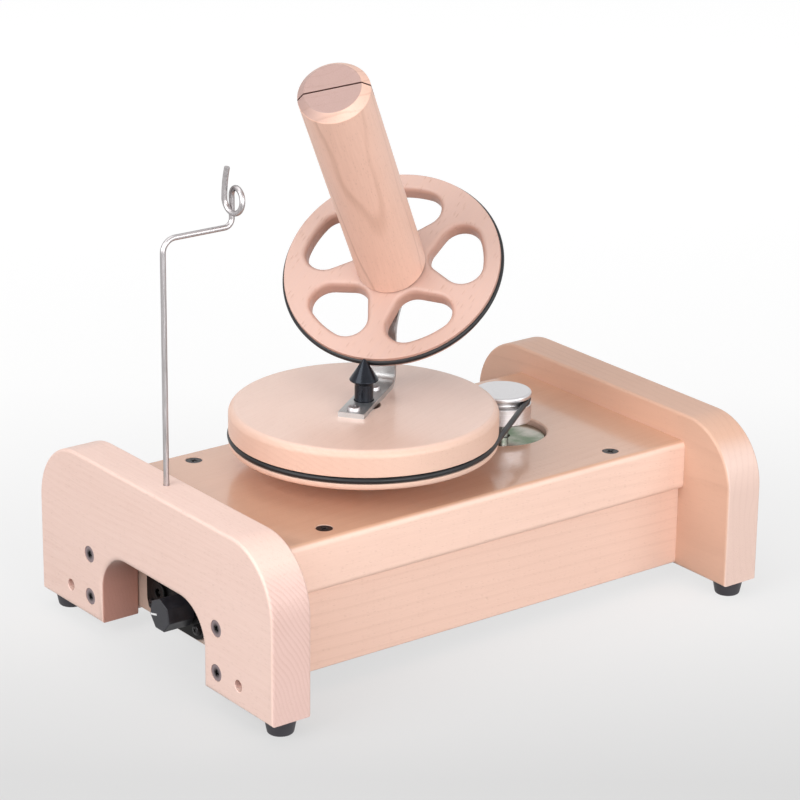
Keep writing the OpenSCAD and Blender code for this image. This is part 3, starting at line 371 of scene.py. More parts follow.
def beech(name, grain, pith, coat=0.12, coat_roughness=0.22, **values):
    material, net, shader = principled(name)
    normal = net.node("ShaderNodeTexCoord").outputs["Normal"]
    values = {"normal": normal, "grain_way": Vector(grain).normalized(), **values}
    group = net.group(beech_group, placed(net, grain, pith), values)
    net.feed(shader.inputs["Base Color"], group.outputs["Color"])
    net.feed(shader.inputs["Roughness"], group.outputs["Roughness"])
    net.feed(shader.inputs["Normal"], bumped(net, group.outputs["Height"], GRAIN_BUMP))
    net.feed(shader.inputs["Coat Weight"], net.math("MULTIPLY", group.outputs["Top"], coat))
    shader.inputs["Coat Roughness"].default_value = coat_roughness
    return material


print("beech boards can be cut")

# %% [markdown]
# ## Metal, rubber and plastic
# Four more effects are shared. Brushing is a noise drawn out along one direction, as a belt grinder leaves
# it. Turning is the same noise wrapped round an axis, as a lathe leaves it. Handling is a soft cloud of
# smudges over a fine grain, which keeps a moulded or oiled surface from looking like flat paint. The
# fourth paints a reflection on screw heads: its mask grows with the distance from the middle of each
# screw, so the rim is lighter.


# %% Shared surface groups
RIM_REFLECTION_FROM = 1.2 * MM
RIM_REFLECTION_TO = 4.2 * MM
HEAD_GRAIN = 2600.0


def effect_group(name, inputs):
    """A group that takes a place, and gives a mask and a height."""
    return shader_group(name, {"Vector": ZERO, **inputs}, {"Mask": "Float", "Height": "Float"})


def put_effect(net, put, mask, height):
    net.feed(put["Mask"], net.step(mask, 0.3, 0.7))
    net.feed(put["Height"], height)


brushed_group, net, given, put = effect_group("Brushing", {"Along": 60.0, "Across": 5200.0})
stretch = net.joined(X=given["Along"], Y=given["Across"], Z=given["Across"])
scratches = net.noise(net.vector("MULTIPLY", given["Vector"], stretch)["Vector"], 3.0)
put_effect(net, put, scratches, scratches)

turned_group, net, given, put = effect_group("Turning", {"Grooves": 3800.0})
radius = net.length(net.scaled(given["Vector"], 0, 1))
lathe_place = net.joined(X=radius, Y=net.parts(given["Vector"])["X"])
grooves = net.noise(lathe_place, 2.0, given["Grooves"])
put_effect(net, put, grooves, grooves)

handled_group, net, given, put = effect_group("Handling", {"Smudge size": 60.0, "Grain size": 3000.0})
smudges = net.noise(given["Vector"], 4.0, given["Smudge size"])
put_effect(net, put, smudges, net.noise(given["Vector"], scale=given["Grain size"]))

# Painted reflection: screw heads lighter towards their rims.
rim_reflection_group, net, given, put = effect_group("Painted rim reflection", {"Side": 0.06, "Row": 0.015})
folded = net.vector("ABSOLUTE", given["Vector"])["Vector"]
corner = net.joined(Y=given["Side"], Z=given["Row"])
from_corner = net.vector("SUBTRACT", folded, corner)["Vector"]
net.feed(put["Mask"], net.step(net.length(net.scaled(from_corner, 0, 1)), RIM_REFLECTION_FROM, RIM_REFLECTION_TO))
net.feed(put["Height"], net.noise(given["Vector"], scale=HEAD_GRAIN))
print("groups:", [group.name for group in bpy.data.node_groups])

# %% [markdown]
# A surface then needs only its two tones, its two roughnesses and the effect that varies between them.
# Numbers that are the same all over stay on the shader's own sockets.


# %% Surface maker
BRACKET_ANGLE = radians(36)
BRACKET_WAY = (cos(BRACKET_ANGLE), sin(BRACKET_ANGLE), 0)


def surface(name, group, tones, roughness, bump, metallic=0.0, axis=(0, 0, 1), origin=ZERO,
            edge=None, shine=0.5, **values):
    material, net, shader = principled(name)
    effect = net.group(group, placed(net, axis, origin), values)
    mask = effect.outputs["Mask"]
    dark, light = ((*tone, 1.0) for tone in tones)
    net.feed(shader.inputs["Base Color"], net.blend(mask, dark, light))
    low, high = roughness
    net.feed(shader.inputs["Roughness"], net.math("MULTIPLY_ADD", mask, high - low, low))
    net.feed(shader.inputs["Normal"], bumped(net, effect.outputs["Height"], bump))
    shader.inputs["Metallic"].default_value = metallic
    shader.inputs["Specular IOR Level"].default_value = shine
    if edge:
        shader.inputs["Specular Tint"].default_value = edge
    return material


def handled(name, dark, light, roughness, bump, **values):
    return surface(name, handled_group, (dark, light), roughness, bump * MM, **values)


steel = surface(
    "Brushed steel", brushed_group, ((0.34, 0.34, 0.34), (0.58, 0.58, 0.58)), (0.30, 0.46), 0.01 * MM,
    metallic=1.0, axis=BRACKET_WAY)
wire_steel = surface(
    "Drawn wire", brushed_group, ((0.38, 0.36, 0.36), (0.60, 0.57, 0.58)), (0.26, 0.40), 0.006 * MM,
    metallic=1.0, edge=(0.35, 0.34, 0.34, 1.0))
aluminium = surface(
    "Turned aluminium", turned_group, ((0.56, 0.55, 0.56), (0.74, 0.73, 0.74)), (0.28, 0.44), 0.012 * MM,
    metallic=1.0, origin=MOTOR_AXIS)
zinc = handled("Yellow zinc", (0.03, 0.09, 0.015), (0.42, 0.39, 0.34), (0.08, 0.18), 0.004,
               metallic=1.0, smudge_size=45.0)
brass = handled("Brass", (0.52, 0.38, 0.16), (0.68, 0.52, 0.25), (0.25, 0.4), 0.01, metallic=1.0)
iron = handled("Dull iron", (0.10, 0.09, 0.09), (0.17, 0.16, 0.155), (0.5, 0.68), 0.03, metallic=0.7)
black_steel = handled("Black screws", (0.010, 0.009, 0.010), (0.026, 0.024, 0.026), (0.28, 0.44), 0.008,
                      metallic=0.6, smudge_size=300.0)
rubber = handled("Black rubber", (0.006, 0.006, 0.007), (0.013, 0.012, 0.014), (0.34, 0.50), 0.02,
                 shine=0.36, grain_size=2200.0)
foot_rubber = handled("Foot rubber", (0.024, 0.022, 0.027), (0.042, 0.039, 0.046), (0.45, 0.62), 0.03,
                      grain_size=1700.0)
black_plastic = handled("Black plastic", (0.002, 0.002, 0.002), (0.005, 0.004, 0.004), (0.36, 0.50), 0.012,
                        shine=0.15, smudge_size=120.0)
cone_plastic = handled("Polished black plastic", (0.005, 0.005, 0.007), (0.010, 0.010, 0.013), (0.16, 0.24),
                       0.008, edge=(0.75, 0.85, 1.0, 1.0), shine=0.30, smudge_size=120.0)
knob_plastic = handled("Satin knob", (0.014, 0.014, 0.018), (0.026, 0.026, 0.032), (0.36, 0.50), 0.012,
                       shine=0.4, smudge_size=120.0)
cable_black = handled("Cable sheath", (0.025, 0.025, 0.028), (0.045, 0.045, 0.050), (0.45, 0.6), 0.02)
board_green = handled("Board lacquer", (0.030, 0.165, 0.075), (0.050, 0.235, 0.110), (0.30, 0.45), 0.01)
components = handled("Board parts", (0.07, 0.09, 0.13), (0.12, 0.14, 0.18), (0.35, 0.5), 0.02)
pointer_white = handled("White fill", (0.78, 0.78, 0.78), (0.86, 0.86, 0.86), (0.4, 0.5), 0.01)
print(len(bpy.data.materials), "materials so far")

# %% [markdown]
# ## Shapes with eased edges
# Sanded wood has no sharp edge, and a soft edge is what catches the light. A bevel on a mesh full of
# triangles tears easily, so a board is built from its outline instead. The outline is drawn in a bit at the
# face, and comes out to full size over a quarter circle. Its holes are made the same way, the other way
# round. A turned piece is a profile spun about its axis.

# %% Outlines
EASE_STEPS = 5
SHARP_ANGLE = radians(32)


def turn_points(middle, radius, start, end, steps):
    """Points of an arc in the plane, angles in radians."""
    angles = [start + (end - start) * i / steps for i in range(steps + 1)]
    return [Vector((middle[0] + radius * cos(a), middle[1] + radius * sin(a))) for a in angles]


def circle_loop(middle, radius, steps):
    return turn_points(middle, radius, 0, 2 * pi, steps)[:-1]


def rectangle(x0, y0, x1, y1):
    return [Vector(corner) for corner in ((x0, y0), (x1, y0), (x1, y1), (x0, y1))]


def bend(before, corner, after, radius, steps):
    """Points of the round bend of that radius at a corner, in the plane or in space."""
    u, w = (before - corner).normalized(), (after - corner).normalized()
    half = u.angle(w) / 2
    middle = corner + (u + w).normalized() * radius / sin(half)
    start = (corner + u * radius / tan(half) - middle).normalized()
    end = (corner + w * radius / tan(half) - middle).normalized()
    turn = start.angle(end)
    return [
        middle + radius * (start * sin((1 - s) * turn) + end * sin(s * turn)) / sin(turn)
        for s in (i / steps for i in range(steps + 1))
    ]


def rounded(points, steps=4):
    """A closed profile from (x, y, radius) corners, with an arc where the radius isn't zero."""
    found = []
    for i, (x, y, radius) in enumerate(points):
        corner = Vector((x, y))
        if radius == 0:
            found.append(corner)
            continue
        before, after = (Vector(points[(i + k) % len(points)][:2]) for k in (-1, 1))
        found.extend(bend(before, corner, after, radius, steps))
    return found


def offset(loop, distance, freedom=(1, 1), spread=None):
    """The loop moved outwards, square to its sides. Freedom 0 holds a direction still, spread moves more."""
    moved = []
    for i, point in enumerate(loop):
        sides = (point - loop[i - 1], loop[(i + 1) % len(loop)] - point)
        first, second = (Vector((side.y, -side.x)).normalized() for side in sides)
        mitre = (first + second) / (1 + first.dot(second))
        step = mitre * distance * (spread(point) if spread else 1)
        moved.append(Vector((point.x + step.x * freedom[0], point.y + step.y * freedom[1])))
    return moved


def eased_wall(thickness, front, rear):
    """(inset, depth) pairs down a wall whose front and rear edges are quarter circles."""
    def edge(ease):
        steps = EASE_STEPS if ease else 0
        angles = [pi / 2 * i / steps for i in range(steps + 1)] if steps else [pi / 2]
        return [(ease * (1 - sin(a)), ease * (1 - cos(a))) for a in angles]

    return edge(front) + [(inset, thickness - depth) for inset, depth in reversed(edge(rear))]


print("outlines can be drawn")


# %% Boards and turned pieces
NO_RADIUS = 1e-9


def ring_walls(mesh, rings, closed=False):
    """Faces between rings of points. A ring of one point is a pole."""
    pairs = list(zip(rings, rings[1:])) + ([(rings[-1], rings[0])] if closed else [])
    for one, other in pairs:
        count = max(len(one), len(other))
        for i in range(count):
            k = (i + 1) % count
            corners = [one[i % len(one)], one[k % len(one)], other[k % len(other)], other[i % len(other)]]
            mesh.faces.new(list(dict.fromkeys(corners)))


def flat_face(mesh, rings):
    """A flat face inside the first ring, open inside the others."""
    corners = [vert for ring in rings for vert in ring]
    for triangle in tessellate_polygon([[vert.co for vert in ring] for ring in rings]):
        mesh.faces.new([corners[i] for i in triangle])


def slab(outline, wall, place, holes=(), freedom=(1, 1), spread=None):
    """A board: an outline with an eased wall, and holes of (loop, wall, blind). place gives points."""
    mesh = bmesh.new()

    def rings_of(loop, profile, way, *how):
        return [
            [mesh.verts.new(place(p.x, p.y, depth)) for p in offset(loop, way * inset, *how)]
            for inset, depth in profile
        ]

    outer = rings_of(outline, wall, -1, freedom, spread)
    ring_walls(mesh, outer)
    front, rear = [outer[0]], [outer[-1]]
    for loop, profile, blind in holes:
        rings = rings_of(loop, profile, 1)
        ring_walls(mesh, rings)
        front.append(rings[0])
        if blind:
            flat_face(mesh, [rings[-1]])
        else:
            rear.append(rings[-1])
    flat_face(mesh, front)
    flat_face(mesh, rear)
    bmesh.ops.recalc_face_normals(mesh, faces=mesh.faces)
    return mesh


def lathe(profile, place, steps=128):
    """A closed profile of (radius, height) points spun about the Z axis of a place."""
    mesh = bmesh.new()
    rings = []
    for radius, height in profile:
        count = steps if radius > NO_RADIUS else 1
        angles = [2 * pi * i / count for i in range(count)]
        ring = [place @ Vector((radius * cos(a), radius * sin(a), height)) for a in angles]
        rings.append([mesh.verts.new(point) for point in ring])
    on_axis = len(rings[0]) == 1 and len(rings[-1]) == 1
    ring_walls(mesh, rings, closed=not on_axis)
    bmesh.ops.recalc_face_normals(mesh, faces=mesh.faces)
    return mesh


print("boards can be sawn and profiles turned")


# %% Finished pieces
def piece(name, shape, material, body, slot, *nodes):
    """A smooth piece that rides on a body and stands for CAD nodes. Large faces keep their own normals."""
    mesh = settled(shape, name)
    mesh.name = name
    mesh.materials.clear()
    mesh.materials.append(material)
    mesh.shade_smooth()
    mesh.set_sharp_from_angle(angle=SHARP_ANGLE)
    obj = linked(name, mesh)
    flat = obj.modifiers.new("Flat faces stay flat", "WEIGHTED_NORMAL")
    flat.mode = "FACE_AREA"
    flat.weight = 100
    flat.keep_sharp = True
    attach(obj, body)
    if nodes:
        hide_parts(*nodes)
    print(f"{name}: {len(mesh.polygons)} faces on {body}")
    return obj


def cut(mesh, cutter):
    """The first mesh with the second one cut out of it, as a plain mesh. Both are used up."""
    kept, tool = (linked(name, settled(shape, name)) for name, shape in (("kept", mesh), ("cutter", cutter)))
    knife = kept.modifiers.new("Cut", "BOOLEAN")
    knife.operation = "DIFFERENCE"
    knife.solver = "EXACT"
    knife.object = tool
    result = modified(kept)
    bpy.data.objects.remove(tool)
    return result


print("pieces can be finished and cut")

# %% [markdown]
# ## The two end panels
# The panels are thick boards with large round shoulders and an arch at the bottom, sanded soft along every
# edge. The grain runs along their length, so the narrow ends show the slanting arcs of the growth rings.
# The holes for the screws are blind, because the screws fill them.

# %% End panels
PANEL_EASE = 1.8 * MM
SHOULDER_R = 40 * MM
ARCH_W = 108 * MM
ARCH_H = 47 * MM
ARCH_R = 25 * MM
ARCH_SPREAD = 1.8
ARCH_MARGIN = 1 * MM
ARCH_SHADE_MARGIN = 5 * MM
CLAMP_HOLE_R = 3.5 * MM
CLAMP_HOLE_Y = 88.5 * MM
CLAMP_HOLE_DEPTH = 16 * MM
SCREW_Y = 66.7 * MM
SCREW_ROWS = (13 * MM, 40 * MM)
SCREW_HEAD_R = 5 * MM
SCREW_HOLE_R = SCREW_HEAD_R + 0.15 * MM
SCREW_HOLE_DEPTH = 4 * MM
HOLE_EASE = 0.5 * MM
HOLE_STEPS = 32
GUIDE_HOLE_R = 1.95 * MM
GUIDE_HOLE_DEPTH = 40 * MM
DRILL_OVER = 2 * MM
ROUND_STEPS = 20

panel_low, panel_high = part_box("left_end_panel")
panel_t = panel_high.x - panel_low.x
panel_foot = panel_low.z
panel_high_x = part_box("right_end_panel")[1].x


def panel_outline():
    half, top, foot = panel_high.y, panel_high.z, panel_foot
    arch, arch_top = ARCH_W / 2, panel_foot + ARCH_H
    corners = [
        (-half, foot, 0), (-arch, foot, 0), (-arch, arch_top, ARCH_R), (arch, arch_top, ARCH_R),
        (arch, foot, 0), (half, foot, 0), (half, top, SHOULDER_R), (-half, top, SHOULDER_R),
    ]
    return rounded(corners, ROUND_STEPS)


def screw_hole(y, z):
    return circle_loop((y, z), SCREW_HOLE_R, HOLE_STEPS), [(0, 0), (0, SCREW_HOLE_DEPTH)], True


def panel_mesh(side):
    face = side * panel_high_x
    holes = [
        (circle_loop((s * CLAMP_HOLE_Y, panel_foot + SCREW_ROWS[0]), CLAMP_HOLE_R, HOLE_STEPS),
         eased_wall(CLAMP_HOLE_DEPTH, HOLE_EASE, 0), True)
        for s in (-1, 1)
    ]
    holes += [screw_hole(s * SCREW_Y, panel_foot + row) for s in (-1, 1) for row in SCREW_ROWS]
    return slab(
        panel_outline(),
        eased_wall(panel_t, PANEL_EASE, PANEL_EASE),
        lambda y, z, depth: Vector((face - side * depth, y, z)),
        holes,
        spread=lambda p: ARCH_SPREAD if abs(p.x) < ARCH_W / 2 + ARCH_MARGIN else 1,
    )


# Both panels take the painted arch shade on the end-grain walls inside their arch.
panel_beech_left = beech(
    "Left panel beech", (0, 1, 0.04), (-0.290, 0, -0.012), ring_strength=0.07, end_strength=0.42,
    ring_width=2.6 * MM, fleck_strength=0.16, taper=0.03, pale=(0.890, 0.650, 0.570, 1.0),
    end_tone=(0.87, 0.83, 0.85, 1.0), sawn_half=ARCH_W / 2 + ARCH_SHADE_MARGIN)
# The right panel's darker base is painted shade on its inner face and top; its paler end tone brings the ends
# back up.
right_panel_beech_painted_shade = beech(
    "Right panel beech with painted shade", (0, 1, -0.03), (0.34, 0, 0.045), ring_strength=0.26, end_strength=0.16,
    ring_width=5 * MM, line_start=0.55, fleck_strength=0.12, taper=0.02, pale=(0.744, 0.460, 0.338, 1.0),
    end_tone=(1.10, 1.30, 1.53, 1.0), sawn_half=ARCH_W / 2 + ARCH_SHADE_MARGIN)
guide_drill = lathe(
    [(0, -GUIDE_HOLE_DEPTH), (GUIDE_HOLE_R, -GUIDE_HOLE_DEPTH), (GUIDE_HOLE_R, DRILL_OVER), (0, DRILL_OVER)],
    Matrix.Translation(GUIDE_AXIS), 24,
)
piece("left_panel", cut(panel_mesh(-1), guide_drill), panel_beech_left, "base", "beech", "left_end_panel")
piece("right_panel", panel_mesh(1), right_panel_beech_painted_shade, "base", "beech", "right_end_panel")

# %% [markdown]
# ## Deck, rails and hidden boards
# The deck is one board between the panels, rounded along its two long edges and a little glossier than the
# rest. The motor looks out of a round hole in it. The rails under it are plain boards with softened edges.
# Their ends butt against the panels, so the easing works only across the grain.

# %% Deck and rails
DECK_EASE = 4 * MM
MOTOR_HOLE_R = 27.4 * MM
MOTOR_HOLE_EASE = 1.2 * MM
DECK_SCREW_X = 107 * MM
RAIL_EASE = 1.2 * MM

deck_low, deck_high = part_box("deck_board")
deck_outline = rectangle(deck_low.x, deck_low.y, deck_high.x, deck_high.y)
deck_t = deck_high.z - deck_low.z
deck_holes = [(circle_loop(MOTOR_AXIS, MOTOR_HOLE_R, 96), eased_wall(deck_t, MOTOR_HOLE_EASE, 0), False)]
deck_holes += [screw_hole(x * DECK_SCREW_X, y * SCREW_Y) for x in (-1, 1) for y in (-1, 1)]
# The darker top tone is painted shade on the deck's top; the paler base is for its lit front edges.
deck_beech_shaded_top = beech(
    "Deck beech with painted top shade", (1, 0.02, 0), (0, 0.09, -0.11), coat=1.0, coat_roughness=0.15, ring_strength=0.07,
    ring_width=5 * MM, fleck_strength=0.10, taper=0.03, pale=(0.940, 0.660, 0.545, 1.0),
    top_tone=(0.74, 0.61, 0.50, 1.0))
piece("deck", slab(deck_outline, eased_wall(deck_t, DECK_EASE, DECK_EASE),
                   lambda x, y, depth: Vector((x, y, deck_high.z - depth)), deck_holes, freedom=(0, 1)),
      deck_beech_shaded_top, "base", "beech", "deck_board")


def rail_mesh(node, side):
    low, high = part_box(node)
    outline = rectangle(low.x, low.z, high.x, high.z)
    face = low.y if side < 0 else high.y
    wall = eased_wall(high.y - low.y, RAIL_EASE, RAIL_EASE)
    return slab(outline, wall, lambda x, z, depth: Vector((x, face - side * depth, z)), freedom=(0, 1))


front_beech = beech(
    "Front rail beech", (1, 0.01, 0.015), (0.1, -0.03, -0.16), ring_strength=0.14, ring_width=7 * MM,
    fleck_strength=0.10, taper=0.05, pale=(0.870, 0.590, 0.480, 1.0), line_start=0.6)
rear_beech = beech(
    "Rear rail beech", (1, -0.01, 0.02), (-0.05, 0.21, 0.05), ring_strength=0.16, fleck_strength=0.25)
# The dark base of the inner boards is painted shade for the recess behind the arch.
inner_beech_painted_shade = beech(
    "Inner board beech with painted shade", (0, 1, 0), (0.03, 0, -0.12), ring_strength=0.16, fleck_strength=0.30,
    pale=(0.480, 0.360, 0.300, 1.0))
piece("front_rail_board", rail_mesh("front_rail", -1), front_beech, "base", "beech", "front_rail")
piece("rear_rail_board", rail_mesh("rear_rail", 1), rear_beech, "base", "beech", "rear_rail")

# %% [markdown]
# ## The turntable
# The turntable is a thick disc turned on a lathe, with a round top edge, a groove for the belt and a hole
# in the middle for the fixed cone's post. A spun profile gives all of it at once.

# %% Turntable
TABLE_EDGE_R = 4.5 * MM
TABLE_LOW_R = 2.5 * MM
TABLE_HOLE_R = 10 * MM
BEARING_R = 14 * MM
POCKET_DEPTH = 18 * MM
BELT_R = 1.75 * MM
GROOVE_R = BELT_R + 0.3 * MM
GROOVE_LIP_R = 0.5 * MM
GROOVE_FLOOR_R = 0.95 * GROOVE_R
BELT_DEPTH_TABLE = 1 * MM
BELT_DEPTH_PULLEY = 2 * MM

table_low, table_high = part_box("turntable")
table_r = (table_high.x - table_low.x) / 2
belt_low, belt_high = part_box("drive_belt")
belt_z = (belt_low.z + belt_high.z) / 2


def groove(rim_r, depth, middle):
    """Corners of a round groove in a rim, from its lower lip to its upper one."""
    floor = rim_r - depth - GROOVE_R
    low, high = middle - GROOVE_R, middle + GROOVE_R
    return [(rim_r, low, GROOVE_LIP_R), (floor, low, GROOVE_FLOOR_R), (floor, high, GROOVE_FLOOR_R),
            (rim_r, high, GROOVE_LIP_R)]


table_profile = rounded([
    (TABLE_HOLE_R, table_low.z + POCKET_DEPTH, 0), (BEARING_R, table_low.z + POCKET_DEPTH, 0),
    (BEARING_R, table_low.z, 0), (table_r, table_low.z, TABLE_LOW_R),
    *groove(table_r, BELT_DEPTH_TABLE, belt_z),
    (table_r, table_high.z, TABLE_EDGE_R), (TABLE_HOLE_R, table_high.z, HOLE_EASE),
], 6)
turn_place = Matrix.Translation((TURN_AXIS.x, TURN_AXIS.y, 0))
# The lighter top tone is painted light on the turntable's top, over a base darkened for its sides.
table_beech_lit_top = beech(
    "Turntable beech with painted top light", (0.94, 0.34, 0), (-0.03, 0.05, -0.02), coat=0.8, ring_strength=0.09, end_strength=0.15,
    fleck_strength=0.10, taper=0.02, pale=(0.800, 0.540, 0.430, 1.0), top_tone=(1.05, 1.10, 1.15, 1.0))
piece("turntable_disc", lathe(table_profile, turn_place, 192), table_beech_lit_top, "turntable", "beech", "turntable")

# %% [markdown]
# ## The bobbin: wheel and spool
# The wheel is a flat disc with five egg-shaped holes, all with softly rounded edges, and a groove in its
# rim for the tyre. Its front face is square to the spool, whose axis the frame gives. The spool is a turned
# dowel with a saw slit across its top, which holds the yarn's end. Little light reaches the slit's walls,
# so they get a darker material of their own.

# %% Bobbin wheel
WHEEL_T = 12 * MM
WHEEL_R = 66.3 * MM
WHEEL_EASE = 0.6 * MM
WHEEL_REAR_EASE = 5.5 * MM
HOLE_ROUND = 3.5 * MM
HOLE_COUNT = 5
HOLE_OUT_R = 55.5 * MM
HOLE_IN_R = 23 * MM
HOLE_CORNER_R = 12 * MM
HOLE_TIP_R = 11 * MM
HOLE_HALF_ANGLE = radians(11.3)
BOBBIN_BEARING_R = 11 * MM
TYRE_R = 1.9 * MM
TYRE_RING_R = 66 * MM
TYRE_DEPTH = 4.2 * MM

lean = acos(BOBBIN_AXIS.z)
lean_way = atan2(BOBBIN_AXIS.y, BOBBIN_AXIS.x)
bobbin_turn = Matrix.Rotation(lean_way, 4, "Z") @ Matrix.Rotation(lean, 4, "Y")
bobbin_place = Matrix.Translation(BOBBIN_ORIGIN) @ bobbin_turn


def egg_loop(turn):
    """One lightening hole, its narrow end towards the hub, turned about the wheel's middle."""
    wide = (HOLE_OUT_R - HOLE_CORNER_R) * Vector((cos(HOLE_HALF_ANGLE), sin(HOLE_HALF_ANGLE)))
    tip = Vector((HOLE_IN_R + HOLE_TIP_R, 0))
    span = wide - tip
    slant = atan2(span.y, span.x) + acos((HOLE_TIP_R - HOLE_CORNER_R) / span.length)
    loop = turn_points((0, 0), HOLE_OUT_R, -HOLE_HALF_ANGLE, HOLE_HALF_ANGLE, 6)
    loop += turn_points(wide, HOLE_CORNER_R, HOLE_HALF_ANGLE, slant, 12)[1:]
    loop += turn_points(tip, HOLE_TIP_R, slant, 2 * pi - slant, 14)
    loop += turn_points((wide.x, -wide.y), HOLE_CORNER_R, 2 * pi - slant, 2 * pi - HOLE_HALF_ANGLE, 12)[:-1]
    spin = Matrix.Rotation(turn, 2)
    return [spin @ point for point in loop]


def rim_wall():
    """The wheel's rim from front to rear, with the tyre's groove in it."""
    wall = eased_wall(WHEEL_T, WHEEL_EASE, WHEEL_REAR_EASE)
    half = len(wall) // 2
    reach = acos((WHEEL_R - TYRE_RING_R) / TYRE_R)
    angles = [reach + (2 * pi - 2 * reach) * i / 10 for i in range(11)]
    round_groove = [(WHEEL_R - TYRE_RING_R - TYRE_R * cos(a), TYRE_DEPTH - TYRE_R * sin(a)) for a in angles]
    return wall[:half] + round_groove + wall[half:]


hole_wall = eased_wall(WHEEL_T, HOLE_ROUND, HOLE_ROUND)
wheel_holes = [(egg_loop(2 * pi * (i + 0.5) / HOLE_COUNT), hole_wall, False) for i in range(HOLE_COUNT)]
wheel_holes.append((circle_loop((0, 0), BOBBIN_BEARING_R, 48), eased_wall(WHEEL_T, 0, 0), False))
wheel_mesh = slab(circle_loop((0, 0), WHEEL_R, 160), rim_wall(),
                  lambda x, y, depth: bobbin_place @ Vector((x, y, -depth)), wheel_holes)
wheel_grain = bobbin_turn.to_3x3() @ Vector((1, -0.35, 0))
# The dark base is painted shade on the wheel's rim, hole walls and back; the lighter top tone brings its lit
# front face back up.
wheel_beech_painted_shade = beech(
    "Wheel beech with painted shade", wheel_grain, BOBBIN_ORIGIN - 0.05 * BOBBIN_AXIS, ring_strength=0.18, fleck_strength=0.32,
    fleck_size=1.9, fibre_strength=0.6, taper=0.02, pale=(0.530, 0.315, 0.255, 1.0), top_way=BOBBIN_AXIS,
    top_tone=(1.16, 1.30, 1.36, 1.0))
piece("bobbin_disc", wheel_mesh, wheel_beech_painted_shade, "bobbin", "beech", "bobbin_wheel")

# %% Spool
SPOOL_R = 21 * MM
SPOOL_L = 178 * MM
SPOOL_CHAMFER = 4.5 * MM
SPOOL_FOOT_R = 2.5 * MM
SPOOL_ROUND = 1.2 * MM
SPOOL_BORE_L = 70 * MM
SLIT_W = 1 * MM
SLIT_DEPTH = 14 * MM
SLIT_WAY = radians(110)
SLIT_FACING = 0.99

spool_profile = rounded([
    (0, SPOOL_BORE_L, 0), (BOBBIN_BEARING_R, SPOOL_BORE_L, 0), (BOBBIN_BEARING_R, 0, 0),
    (SPOOL_R, 0, SPOOL_FOOT_R), (SPOOL_R, SPOOL_L - SPOOL_CHAMFER, SPOOL_ROUND),
    (SPOOL_R - SPOOL_CHAMFER, SPOOL_L, SPOOL_ROUND), (0, SPOOL_L, 0),
], 5)
saw = bmesh.new()
blade = Matrix.Diagonal((3 * SPOOL_R, SLIT_W, 2 * SLIT_DEPTH, 1))
saw_place = bobbin_place @ Matrix.Translation((0, 0, SPOOL_L)) @ Matrix.Rotation(SLIT_WAY, 4, "Z")
bmesh.ops.create_cube(saw, size=1, matrix=saw_place @ blade)
spool_pith = BOBBIN_ORIGIN + Vector((0.011, 0.036, 0.025))
# The dark end tone is painted shade on the spool's top end, picked out by a way tilted from the axis; it also
# sets the end rings.
spool_end_and_shade_way = (BOBBIN_AXIS + Vector((-0.24, 0.18, 0))).normalized()
spool_beech_shaded_top = beech(
    "Spool beech with painted top shade", BOBBIN_AXIS, spool_pith, ring_strength=0.70, end_strength=0.16, line_start=0.78,
    fleck_strength=0.20, fibre_strength=0.35, taper=0.035, ring_width=6.8 * MM, grain_way=spool_end_and_shade_way,
    pale=(0.880, 0.565, 0.450, 1.0), end_tone=(0.50, 0.51, 0.57, 1.0))
spool_mesh = cut(lathe(spool_profile, bobbin_place, 128), saw)
spool_faces = piece("spool_dowel", spool_mesh, spool_beech_shaded_top, "bobbin", "beech", "spool").data

kerf_beech = beech(
    "Sawn slit", BOBBIN_AXIS, spool_pith, pale=(0.115, 0.050, 0.042, 1.0), deep=(0.060, 0.026, 0.022, 1.0))
spool_faces.materials.append(kerf_beech)
slit_side = saw_place.to_3x3() @ Vector((0, 1, 0))
slit_walls = [
    face for face in spool_faces.polygons
    if abs(face.normal.dot(slit_side)) > SLIT_FACING
    and abs((face.center - saw_place.translation).dot(slit_side)) < SLIT_W
]
for face in slit_walls:
    face.material_index = 1
print(len(slit_walls), "faces in the spool's slit")

# %% [markdown]
# ## Round sections along a path: belt, tyre and wire
# The belt, the tyre and the yarn guide are all one round section drawn along a path. One Geometry Nodes
# tree makes them: it turns a chain of edges into a curve and sweeps a circle along it. The result is turned
# into a plain mesh, because the export keeps meshes only.


# %% Sweep tree
def geometry_tree(name, inputs):
    """A Geometry Nodes tree with a geometry in and out and named inputs, its net and its two ends."""
    tree = bpy.data.node_groups.new(name, "GeometryNodeTree")
    tree.interface.new_socket("Geometry", in_out="INPUT", socket_type="NodeSocketGeometry")
    for label, kind in inputs.items():
        tree.interface.new_socket(label, in_out="INPUT", socket_type="NodeSocket" + kind)
    tree.interface.new_socket("Geometry", in_out="OUTPUT", socket_type="NodeSocketGeometry")
    net = Net(tree)
    return tree, net, net.node("NodeGroupInput").outputs, net.node("NodeGroupOutput").inputs


def grown(tree, points, edges, values, attributes=None):
    """A plain mesh from a tree that runs on a mesh of points and edges, with the tree's inputs set."""
    data = bpy.data.meshes.new("seed")
    data.from_pydata(points, edges, [])
    for label, vectors in (attributes or {}).items():
        stored = data.attributes.new(label, "FLOAT_VECTOR", "POINT")
        stored.data.foreach_set("vector", [c for vector in vectors for c in vector])
    seed = linked("seed", data)
    modifier = seed.modifiers.new("Grow", "NODES")
    modifier.node_group = tree
    for item in tree.interface.items_tree:
        if item.in_out == "INPUT" and item.name in values:
            modifier[item.identifier] = values[item.name]
    return modified(seed)


def end_tree(net, given, put, geometry):
    """Real geometry in place of instances, in the given material, as what the tree puts out."""
    whole = net.node("GeometryNodeRealizeInstances", {0: geometry}).outputs[0]
    painted = net.node("GeometryNodeSetMaterial", {0: whole, "Material": given["Material"]})
    net.feed(put[0], painted.outputs[0])


